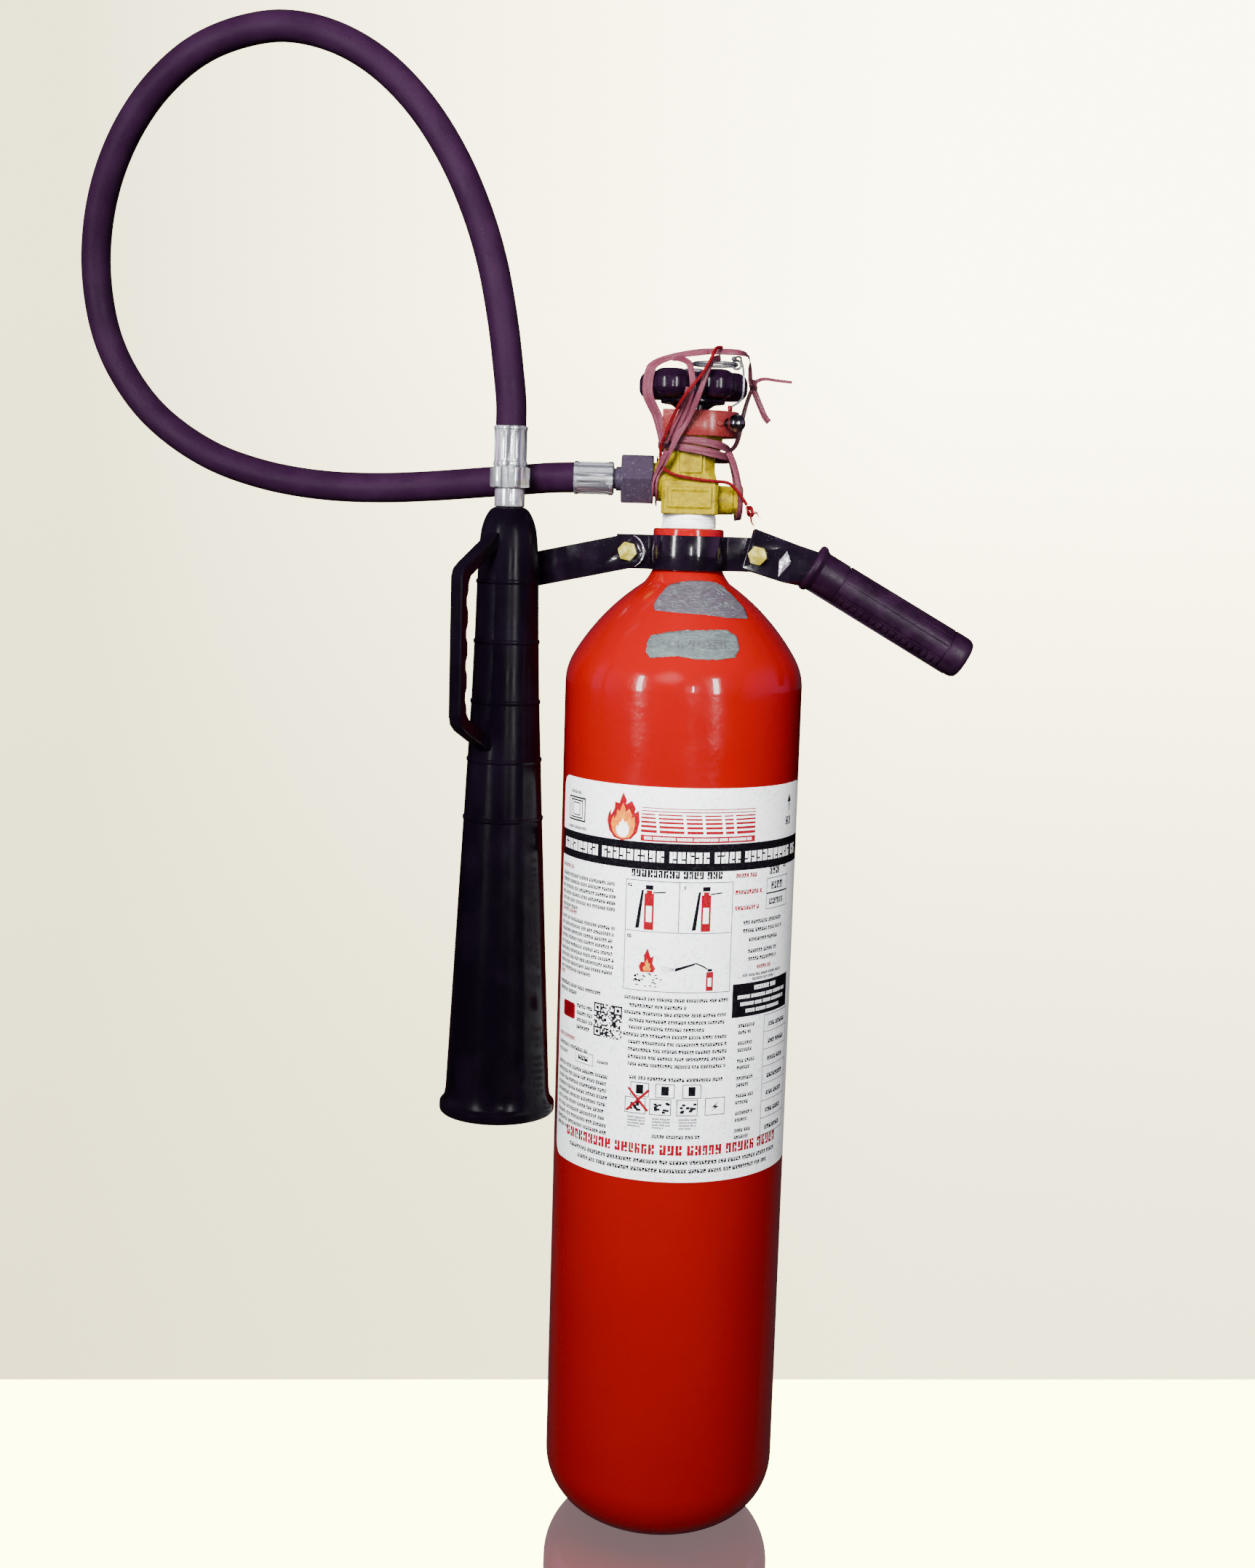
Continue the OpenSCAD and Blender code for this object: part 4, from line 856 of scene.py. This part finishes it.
    for k, (a, b) in enumerate(((39, 83.4), (41, 81), (45, 76))):
        p.words(WHITE_INK, a, b, 338.2 - 4.2 * k, 2.1, 1231 + k, 2)
    p.frame(BLACK_INK, 60.4, 89.4, 253.4, 326.2, 0.45)
    for k in range(7):
        z = 326.2 - 10.4 * (k + 1)
        if k < 6:
            p.box(BLACK_INK, 60.4, 89.2, z - 0.2, z + 0.2)
        p.words(BLACK_INK, 40.2, 56.5, z + 5.4, 2.2, 1240 + k, fill=0.8)
        p.words(BLACK_INK, 40.2, 56.5, z + 1.4, 2.2, 1250 + k, fill=0.65)
        p.words(BLACK_INK, 65, 84.4, z + 3.0, 2.7, 1260 + k, aspect=0.8)
    # foot
    p.words(BLACK_INK, -9.6, 19.6, 257.2, 2.2, 1300)
    p.words(RED_INK, -72, 80, 247.4, 6.0, 1301, aspect=0.56)
    p.words(BLACK_INK, -68.4, 78, 241.9, 2.5, 1302)
    p.words(BLACK_INK, -60, 70, 236.8, 2.5, 1303)
    p.make("print", "bottle", "label_print")


make_label()


# ---------------------------------------------------------------- valve

moulded("valve_body", CAST, "bottle", "brass", voxel=0.42, rounds=4, factor=0.45)
eased("gland_nut", TURNED, "bottle", "brass", 0.5)
eased("burst_plug", TURNED, "bottle", "brass", 0.4)
eased("spindle", STEEL, "wheel", "steel", 0.25)
moulded("hand_wheel", BAKELITE, "wheel", "bakelite", voxel=0.5, rounds=4, factor=0.5)
eased("wheel_nut", ZINC, "wheel", "zinc_steel", 0.3)
eased("wheel_washer", ZINC, "wheel", "zinc_steel", 0.15)

# ---------------------------------------------------------------- clip and ring

eased("clip_band", SALMON, "clip", "clip_red", 0.3)
eased("clip_lug", SALMON, "clip", "clip_red", 0.4)
eased("clip_rivet", SALMON, "clip", "clip_red", 0.25, 3)
KNOB_TURN = Matrix.Rotation(math.radians(-46.5), 3, "Z") @ Vector((1, 0, 0))
knob = ([(0, 21), (3.1, 21), (3.2, 21.2), (3.2, 21.7), (2.8, 21.9), (2.4, 22.0), (2.4, 22.5), (3.0, 22.7),
    (3.4, 23.0), (3.3, 23.5), (2.8, 23.7), (2.6, 23.8)] + [(5.2 * math.sin(math.radians(a)),
    28 - 5.2 * math.cos(math.radians(a)))
    for a in range(34, 181, 6)] + [(0, 33.2)])
settle(lathe("clip_knob_fine", knob, BALL, at=(6, 0, 665.4), axis=KNOB_TURN, segments=64), "clip",
    "zinc_steel", "clip_knob")

# ---------------------------------------------------------------- outlet and hose ends

eased("union_nut", MAUVE, "bottle", "nut_steel", 0.4)
eased("hose_tail", MAUVE, "bottle", "nut_steel", 0.3)
eased("ferrule_valve", REFLECTION_STREAKS["x"], "bottle", "zinc_steel", 0.22)
eased("ferrule_horn", REFLECTION_STREAKS["z"], "horn", "zinc_steel", 0.22)
eased("horn_adaptor", REFLECTION_STREAKS["z"], "horn", "zinc_steel", 0.3)
eased("horn_collar", ZINC, "horn", "zinc_steel", 0.2)

# ---------------------------------------------------------------- horn

HORN_AT = (-103.8, -20, 0)
RINGS = [(571.6, 17.75, 17.9), (537, 18.6, 18.8), (502, 19.8, 20), (468, 21.4, 21.6), (433.5, 23, 23.2)]
horn = [(5, 614.4), (7.4, 614.4), (8.6, 614.2), (10.2, 613.3), (11.4, 612.2), (12.6, 610.4),
    (13.4, 608.8), (14.4, 606.6),
    (15.1, 604.4), (15.8, 601.6), (16.2, 599.2), (16.6, 596), (16.9, 592.8), (17.2, 588)]
for z, above, below in RINGS:
    horn += [(above, z + 1.4), (above + 0.35, z + 1.15), (above + 0.68, z + 0.7), (above + 0.72, z),
    (above + 0.68, z - 0.7), (below + 0.3, z - 1.15), (below, z - 1.4)]
horn += [(30.8, 271.4), (31.0, 269), (31.5, 266), (32.2, 263.6), (33, 262.3), (33.9, 261.7),
    (34.3, 261.2), (34.4, 260.4),
    (34.4, 257.4), (34.2, 256.6), (33.6, 256), (31.8, 256), (31.4, 256.4), (29, 264), (28.3, 270.8),
    (20.5, 433.5),
    (17.3, 502), (15.1, 571.6), (14.2, 590), (12.8, 599.5), (11, 604), (9, 606.5), (5, 607.4)]
settle(lathe("horn_shell", horn, HORN, at=HORN_AT, segments=160, closed=True), "horn", "horn_plastic",
    "horn")
outer = sorted([(z, r) for r, z in horn[:horn.index((34.4, 257.4)) + 1]])


def horn_radius(z):
    return float(np.interp(z, [p[0] for p in outer], [p[1] for p in outer]))


def seam(azimuth):
    """The mould's parting line: a fine raised bead down the outside of the horn."""
    verts, faces = [], []
    zs = [606 - 1.5 * k for k in range(230)]
    a = math.radians(azimuth)
    out, side = Vector((math.sin(a), -math.cos(a), 0)), Vector((math.cos(a), math.sin(a), 0))
    for z in zs:
        c = Vector((HORN_AT[0], HORN_AT[1], z)) + out * horn_radius(z)
        verts += [(c - side * 0.35 - out * 0.15) * MM, (c - side * 0.12 + out * 0.16) * MM,
            (c + side * 0.12 + out * 0.16) * MM, (c + side * 0.35 - out * 0.15) * MM]
    for i in range(len(zs) - 1):
        for k in range(3):
            faces.append((4 * i + k, 4 * i + k + 1, 4 * i + k + 5, 4 * i + k + 4))
        faces.append((4 * i + 3, 4 * i, 4 * i + 4, 4 * i + 7))
    last = 4 * (len(zs) - 1)
    faces += [(0, 1, 2, 3), (last + 3, last + 2, last + 1, last)]
    settle(outward(new_mesh(f"horn_seam_{'front' if abs(azimuth) < 90 else 'back'}", verts, faces, HORN,
    40)), "horn", "horn_plastic")


seam(-23.5)
seam(156.5)
moulded("horn_handle", HORN, "horn", "horn_plastic", voxel=0.5, rounds=6, factor=0.5)
eased("horn_peg", HORN, "horn", "horn_plastic", 0.3)

# ---------------------------------------------------------------- clamp, arm and handle

eased("clamp_front", ENAMEL, "bottle", "black_paint", 0.4)
eased("clamp_rear", ENAMEL, "bottle", "black_paint", 0.4)
eased("horn_arm", ENAMEL, "bottle", "black_paint", 0.5)
eased("handle_tube", ENAMEL, "bottle", "black_paint", 0.5)
# Grey metal with white specks: worn-through enamel on the arm's edge, and a painted highlight on the
# pressed diamond facet of the handle plate.
WEAR_AND_HIGHLIGHT = shader("worn_enamel", (0.26, 0.23, 0.28), 0.26, metal=0.6,
    layers=[((0.012, 0.006, 0.014), 260, 0.48, 0.60, 0.9),
    ((0.85, 0.85, 0.88), 600, 0.52, 0.62, 0.8)],
    rough_map=(0.16, 0.34, 300), bumps=[(700, 0.00008)])
# The pressed diamond facet on the handle plate, painted light grey and white as a highlight.
facet = [(57.7, 594), (60.5, 587.2), (53.1, 578.4), (53.2, 587.9)]
centre = (56.4, 587.4)
verts = [mm(x, -8.35, z) for x, z in facet] + [mm(centre[0] + (x - centre[0]) * 0.8, -8.66,
    centre[1] + (z - centre[1]) * 0.8)
    for x, z in facet] + [mm(*centre[:1], -9.5, centre[1])]
faces = [(k, (k + 1) % 4, 4 + (k + 1) % 4, 4 + k) for k in range(4)] + [(4 + k, 4 + (k + 1) % 4,
    8) for k in range(4)]
faces.append((0, 1, 2, 3))
settle(outward(new_mesh("handle_facet", verts, faces, WEAR_AND_HIGHLIGHT, 8)), "bottle", "black_paint")
verts, faces = [], []
for k in range(25):
    a = math.radians(-62 + 5.4 * k)
    wide = 0.35 + 0.75 * math.sin(math.pi * k / 24) ** 2
    for r, lift in ((10.0 - wide, 0.02), (10.0 - wide * 0.5, 0.10), (10.02, 0.04), (10.06, -0.6)):
        verts.append(mm(-35.4 + r * math.cos(a), -7.42 - lift, 590.9 + r * math.sin(a)))
for k in range(24):
    for m in range(3):
        faces.append((4 * k + m, 4 * k + m + 1, 4 * k + m + 5, 4 * k + m + 4))
    faces.append((4 * k + 3, 4 * k, 4 * k + 4, 4 * k + 7))
faces += [(0, 1, 2, 3), (99, 98, 97, 96)]
settle(outward(new_mesh("arm_worn_edge", verts, faces, WEAR_AND_HIGHLIGHT, 40)), "bottle", "black_paint")
eased("handle_grip", GRIP, "bottle", "grip_rubber", 0.25)
eased("clamp_bolts", GOLD, "bottle", "yellow_zinc", 0.35)
eased("clamp_nuts", GOLD, "bottle", "yellow_zinc", 0.35)
for node, mat in {"clamp_washers": GOLD, "arm_grommet": GRIP, "dip_tube": STEEL, "valve_seat": TAPE,
"valve_plug": TURNED, "gland_packing": TAPE, "wheel_insert": TURNED, "ring_link": WIRE, "pull_ring": WIRE,
        "burst_disc": COPPER, "burst_washer": TURNED, "union_seal": TAPE, "diffuser": TURNED}.items():
    for i in range(len(NODES[node].data.materials)):
        NODES[node].material_slots[i].material = mat


# ---------------------------------------------------------------- tie ribbon

def waist_turn(a):
    """A point of the two turns round the valve's waist, at the angle a in degrees."""
    turn, dip = math.radians(a), math.radians(a - 270)
    if a < 570:
        z = 655.2 - 1.75 * math.sin(dip) - 3.5 * (1 - math.cos(dip))
    else:
        z = 650.2 - 3.2 * math.sin(dip) - 1.3 * (1 - math.cos(dip))
    return (1.6 + (21.2 + 0.25 * math.sin(math.radians(3 * a))) * math.cos(turn),
        (20.7 + 0.25 * math.cos(math.radians(2 * a))) * math.sin(turn), z)


RIBBONS = {
    "ribbon_left": [(-16, -19, 653), (-17.4, -19.6, 658.5), (-20.4, -20, 668.5), (-23, -21.6, 673.5),
    (-25.8, -23.6, 680),
    (-26, -23.8, 687.5), (-24.8, -24.4, 693.5), (-23.4, -23.6, 696.4), (-18.4, -20.6, 699.8),
    (-8, -17.8, 703.2), (6, -17.4, 705.4), (18, -18, 705.6), (28, -14, 705.6), (32.4, 1, 705.4),
    (34, 16.4, 702), (35, 23, 692.6)],
    "ribbon_mid": [(-12, -18.6, 701), (-8, -26, 700.4), (-3, -33.4, 697.4), (-1, -35.6, 690.4),
    (-0.6, -35.4, 684), (-1.8, -34.2, 678), (-4, -28.6, 671), (-8.6, -24, 661), (-11.4, -20, 654)],
    "ribbon_front": [(15, -19.5, 702), (11, -28, 700), (8.4, -35, 695.4), (6.4, -35.6, 689.4),
    (4.2, -35.4, 682.6),
    (1.4, -32, 675.6), (-3, -26, 666), (-8.4, -24.4, 656.6), (-12, -22.4, 649), (-15, -18.8, 642.4),
    (-18.4, -14.4, 636), (-20, -13.8, 631), (-20, -11.4, 625), (-20, -4, 619.6), (-20, 4, 619.6),
    (-20, 11.4, 625), (-20, 13.8, 632), (-20, 11.8, 640), (-20, 4.6, 645.8)],
    "ribbon_waist": [waist_turn(a) for a in range(190, 911, 30)],
    "ribbon_right": [(35, 25, 689), (32, 25.6, 680), (29.6, 25, 670), (28, 24.2, 661), (26, 19, 654.6),
    (22.4, 12, 650.6)],
    "ribbon_tail": [(58.4, 27, 693.2), (50, 26.8, 693.9), (42, 26, 694.6), (37.4, 25, 693),
    (35.2, 24.4, 690.4), (36.6, 25, 686), (39.6, 25.8, 679.4), (43, 26.2, 672.4), (45.6, 26.2, 669.2)],
    "ribbon_plug": [(22, -8, 649.6), (24.8, -10.6, 643), (27.6, -12.4, 634), (29.2, -12.2, 625),
    (29.2, -9.6, 616),
    (28.8, -3.6, 611.2), (28.4, 4, 611.2), (28, 10, 616), (27.6, 12, 625), (26.4, 11, 634),
    (24.4, 9.6, 642), (22.6, 9, 647)], }


def flat_strip(name, route, width, seed, shift=(0, 0, 0), out_from=None, narrow=1.0, node=None):
    """A creased flat tape along the route. Its face looks away from the point out_from, or else from
    the valve's axis."""
    draw = random.Random(seed)
    n = max(24, int(line_length([Vector(p) for p in route]) / 0.8))
    line = evenly(smooth_line(route, 8), n)
    across = 9
    waves = [(draw.uniform(0.5, 1.6), draw.uniform(0, 6.3), draw.uniform(0.10, 0.26)) for _ in range(5)]
    verts, faces, uv = [], [], []
    for i, p in enumerate(line):
        t = (line[min(i + 1, n)] - line[max(i - 1, 0)]).normalized()
        centre = Vector(out_from) if out_from else Vector((1, 0, p.z))
        face = p - centre
        face = (face - face.dot(t) * t)
        face = face.normalized() if face.length > 1e-6 else Vector((0, -1, 0))
        side = t.cross(face).normalized()
        s = i * 0.8
        w = width * (1 - (1 - narrow) * 0.5 * (1 + math.sin(s / 9 + seed))) / 2
        for k in range(across):
            u = -1 + 2 * k / (across - 1)
            crease = sum(h * math.sin(f * s / 4 + ph + 2.2 * u * (j + 1)) for j, (f, ph,
            h) in enumerate(waves))
            fold = 0.35 * math.cos(3.1 * u + 0.05 * s) - 0.5 * u * u
            verts.append((p + side * (w * u) + face * (0.45 * (crease + fold)) + Vector(shift)) * MM)
            uv.append((u * w / 10, s / 60))
    for i in range(n):
        for k in range(across - 1):
            a = i * across + k
            faces.append((a, a + 1, a + across + 1, a + across))
    obj = new_mesh(name, verts, faces, RIBBON, uv=uv)
    m = obj.modifiers.new("thick", "SOLIDIFY")
    m.thickness = 0.00018
    m.offset = 0
    apply_modifiers(obj)
    return settle(obj, "bottle", "tie_ribbon", *([node] if node else []))


for name, part, width, seed, shift, away, narrow in (
        ("ribbon_left_a", slice(None), 3.8, 1, (-1.2, -0.3, 0), (0, 60, 685), 0.8),
        ("ribbon_left_b", slice(11), 3.4, 2, (1.5, -1.0, -0.2), (10, 60, 685), 0.75),
        ("ribbon_left_c", slice(7), 2.2, 12, (0.4, -1.2, 0), (-10, 60, 685), 0.7),
        ("ribbon_mid_a", slice(None), 3.6, 3, (0, 0, 0), (0, 60, 670), 0.8),
        ("ribbon_mid_b", slice(4, None), 2.4, 4, (-2.6, -0.5, 0), None, 0.7),
        ("ribbon_front_a", slice(None), 3.6, 5, (0, 0, 0), None, 0.85),
        ("ribbon_front_b", slice(8, 14), 4.0, 13, (-2.2, 0.4, 0), None, 0.8),
        ("ribbon_waist_a", slice(13), 4.6, 6, (0, 0, 0), None, 0.8),
        ("ribbon_waist_b", slice(12, None), 4.6, 7, (0, 0, 0), None, 0.8),
        ("ribbon_right_a", slice(None), 3.0, 8, (0, 0, 0), (20, 80, 670), 0.75),
        ("ribbon_tail_a", slice(5), 2.8, 9, (0, 0, 0), (40, 60, 660), 0.85),
        ("ribbon_tail_b", slice(4, None), 3.6, 10, (0, 0, 0), (40, 60, 680), 0.9),
        ("ribbon_plug_a", slice(None), 4.2, 11, (0, 0, 0), (22, 0, 628), 0.8)):
    leg, strip = name.rsplit("_", 1)
    flat_strip(name, RIBBONS[leg][part], width, seed, shift, away, narrow,
    node=leg if strip == "a" else None)

for name, node, mat, slot in (("ribbon_knot_fine", "ribbon_knot", RIBBON, "tie_ribbon"),
        ("thread_knot_fine", "thread_knot", THREAD, "red_thread")):
    lo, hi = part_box(node)
    c, half = (lo + hi) / 2 / MM, (hi - lo) / 2 / MM
    verts, faces = [], []
    for turn in range(2):
        loop = []
        for k in range(49):
            a = 2 * math.pi * k / 48
            loop.append((c + Vector((half.x * 0.62 * math.sin(a) * (1 if turn else 0.8),
            half.y * 0.62 * math.cos(2 * a + turn),
                half.z * 0.66 * math.cos(a + 0.9 * turn)))) * MM)
        v, f = tube_mesh(loop, (1.0 if "ribbon" in name else 0.8) * MM, 10, start=len(verts))
        verts += v
        faces += f
    settle(new_mesh(name, verts, faces, mat, uv=[(0.1 * q, 0.03 * q) for q in range(len(verts))]),
    "bottle", slot, node)


verts, faces = [], []
for k, (end, bend, r) in enumerate((((40.2, -14.2, 612.8), (1, 0, 1.4), 0.55), ((37.6, -14.6, 607.6),
    (-0.4, 0, -1), 0.7),
        ((41.4, -15, 617.8), (0.6, 0, -1.2), 0.16), ((43.2, -13.6, 610.2), (0, 0, 1.6), 0.16),
        ((37.8, -14, 603.4), (1.4, 0, 0), 0.16), ((39.4, -13.8, 615.4), (0, 0, 1), 0.4))):
    a, b = Vector((35.4, -14.4, 614.6)), Vector(end)
    points = [p * MM for p in smooth_line([a, a.lerp(b, 0.5) + Vector(bend), b], 6)]
    v, f = tube_mesh(points, [r * MM * (1 - 0.6 * i / 12) for i in range(13)], 8, start=len(verts))
    verts += v
    faces += f
settle(new_mesh("thread_frayed_ends", verts, faces, THREAD), "bottle", "red_thread")


# ---------------------------------------------------------------- stage and light

def backdrop(n, direction):
    """The backdrop's colour in a direction: brightest at the upper right, greyer at the left and low."""
    sep = n.add("ShaderNodeSeparateXYZ")
    n.join(direction, sep.inputs[0])
    t = n.span(sep.outputs["X"], -0.30, 0.12)
    v = n.span(sep.outputs["Z"], -0.40, 0.10)

    def maths(kind, a, b):
        m = n.add("ShaderNodeMath", operation=kind)
        for k, value in enumerate((a, b)):
            if isinstance(value, float):
                m.inputs[k].default_value = value
            else:
                n.join(value, m.inputs[k])
        return m.outputs[0]

    low = maths("ADD", maths("MULTIPLY", v, 0.09), maths("MULTIPLY", t, 0.14))
    high = maths("MULTIPLY", maths("MULTIPLY", maths("MULTIPLY", t, v), v), 0.77)
    mix = n.add("ShaderNodeMix", data_type="RGBA")
    n.join(maths("ADD", low, high), mix.inputs["Factor"])
    mix.inputs["A"].default_value = (2.7, 2.42, 1.5, 1)
    mix.inputs["B"].default_value = (10.5, 9.6, 6.0, 1)
    return mix.outputs["Result"]


def studio():
    mesh = bpy.data.meshes.new("floor")
    bm = bmesh.new()
    bmesh.ops.create_circle(bm, cap_ends=True, segments=96, radius=8)
    bm.to_mesh(mesh)
    bm.free()
    floor = link(bpy.data.objects.new("floor", mesh))

    # A bright glossy board that ends 0.17 m behind the axis, with paper beyond it. The paper's colour is
    # worked out from where the camera stands at rest, so it fits the backdrop from the front only.
    n = Nodes("studio_floor")
    rays = n.add("ShaderNodeLightPath")
    sep = n.add("ShaderNodeSeparateXYZ")
    n.join(n.coord.outputs["Object"], sep.inputs[0])
    gloss = n.add("ShaderNodeBsdfGlossy")
    gloss.inputs["Color"].default_value = (0.97, 0.97, 0.97, 1)
    gloss.inputs["Roughness"].default_value = 0.0
    # A faint pink glow over the board: a painted reflection that tints the mirrored bottle pink.
    pink_glow = n.add("ShaderNodeEmission")
    pink_glow.inputs["Color"].default_value = (1.0, 0.70, 0.72, 1)
    pink_glow.inputs["Strength"].default_value = 0.22
    board = n.add("ShaderNodeAddShader")
    n.join(gloss.outputs[0], board.inputs[0])
    n.join(pink_glow.outputs[0], board.inputs[1])
    paper = n.add("ShaderNodeEmission")
    ray = n.add("ShaderNodeVectorMath", operation="SUBTRACT")
    n.join(n.coord.outputs["Object"], ray.inputs[0])
    ray.inputs[1].default_value = CAMERA_AT
    unit = n.add("ShaderNodeVectorMath", operation="NORMALIZE")
    n.join(ray.outputs[0], unit.inputs[0])
    n.join(backdrop(n, unit.outputs[0]), paper.inputs["Color"])
    seen = n.add("ShaderNodeMixShader")
    edge = n.add("ShaderNodeMath", operation="MULTIPLY_ADD")
    n.join(sep.outputs["X"], edge.inputs[0])
    edge.inputs[1].default_value = -0.0957
    n.join(sep.outputs["Y"], edge.inputs[2])
    n.join(n.span(edge.outputs[0], 0.1712, 0.1720), seen.inputs[0])
    n.join(board.outputs[0], seen.inputs[1])
    n.join(paper.outputs[0], seen.inputs[2])
    dim = n.add("ShaderNodeBsdfDiffuse")
    dim.inputs["Color"].default_value = (0.035, 0.018, 0.022, 1)
    both = n.add("ShaderNodeMixShader")
    n.join(rays.outputs["Is Camera Ray"], both.inputs[0])
    n.join(dim.outputs[0], both.inputs[1])
    n.join(seen.outputs[0], both.inputs[2])
    n.join(both.outputs[0], n.tree.nodes["Material Output"].inputs["Surface"])
    n.tree.nodes.remove(n.bsdf)
    floor.data.materials.append(n.mat)

    world = bpy.data.worlds.new("studio")
    bpy.context.scene.world = world
    world.use_nodes = True
    w = Nodes.__new__(Nodes)
    w.tree = world.node_tree
    w.coord = w.add("ShaderNodeTexCoord")
    rays = w.add("ShaderNodeLightPath")
    ground = w.tree.nodes["Background"]

    def choose(test, no, yes):
        mix = w.add("ShaderNodeMix", data_type="RGBA")
        w.join(test, mix.inputs["Factor"])
        for key, value in (("A", no), ("B", yes)):
            if isinstance(value, tuple):
                mix.inputs[key].default_value = (*value, 1)
            else:
                w.join(value, mix.inputs[key])
        return mix.outputs["Result"]

    # Each kind of ray sees its own room: dim with mauve side walls in gloss, bright in the floor's mirror,
    # and the backdrop to the camera.
    sep = w.add("ShaderNodeSeparateXYZ")
    w.join(w.coord.outputs["Generated"], sep.inputs[0])
    wide = w.add("ShaderNodeMath", operation="ABSOLUTE")
    w.join(sep.outputs["X"], wide.inputs[0])
    walls = choose(w.span(wide.outputs[0], 0.80, 0.98), (0.05, 0.035, 0.055), (0.42, 0.20, 0.50))
    soft = choose(rays.outputs["Is Diffuse Ray"], walls, (0.16, 0.15, 0.15))
    mirror = choose(rays.outputs["Is Singular Ray"], soft, (16.5, 15.5, 5.6))
    w.join(choose(rays.outputs["Is Camera Ray"], mirror, backdrop(w, w.coord.outputs["Generated"])),
    ground.inputs["Color"])

    def area(name, where, target, size, power, mirrored=True, spread=180):
        data = bpy.data.lights.new(name, "AREA")
        data.shape = "RECTANGLE"
        data.size, data.size_y = size
        data.energy = power
        lamp = link(bpy.data.objects.new(name, data))
        lamp.location = where
        lamp.rotation_mode = "QUATERNION"
        lamp.rotation_quaternion = (Vector(target) - Vector(where)).to_track_quat("-Z", "Y")
        lamp.visible_glossy = mirrored
        data.spread = math.radians(spread)
        lamp.visible_camera = False

    area("strip_left", (-1.20, -1.34, 0.88), (0, 0, 0.86), (0.17, 0.86), 19)
    area("strip_right", (0.93, -1.54, 0.88), (0, 0, 0.86), (0.16, 0.86), 18)
    area("glint", (0.29, -1.78, 0.66), (-0.1, 0, 0.62), (0.03, 0.30), 4.0)
    area("key", (-0.45, -1.65, 1.35), (0, 0, 0.78), (0.6, 0.6), 20, mirrored=False, spread=54)
    area("top", (0.1, -0.5, 2.1), (0, 0, 0.5), (1.2, 1.2), 16, mirrored=False)
    area("rim", (0.2, 1.7, 1.3), (0, 0, 0.5), (1.2, 1.2), 30, mirrored=False)


studio()
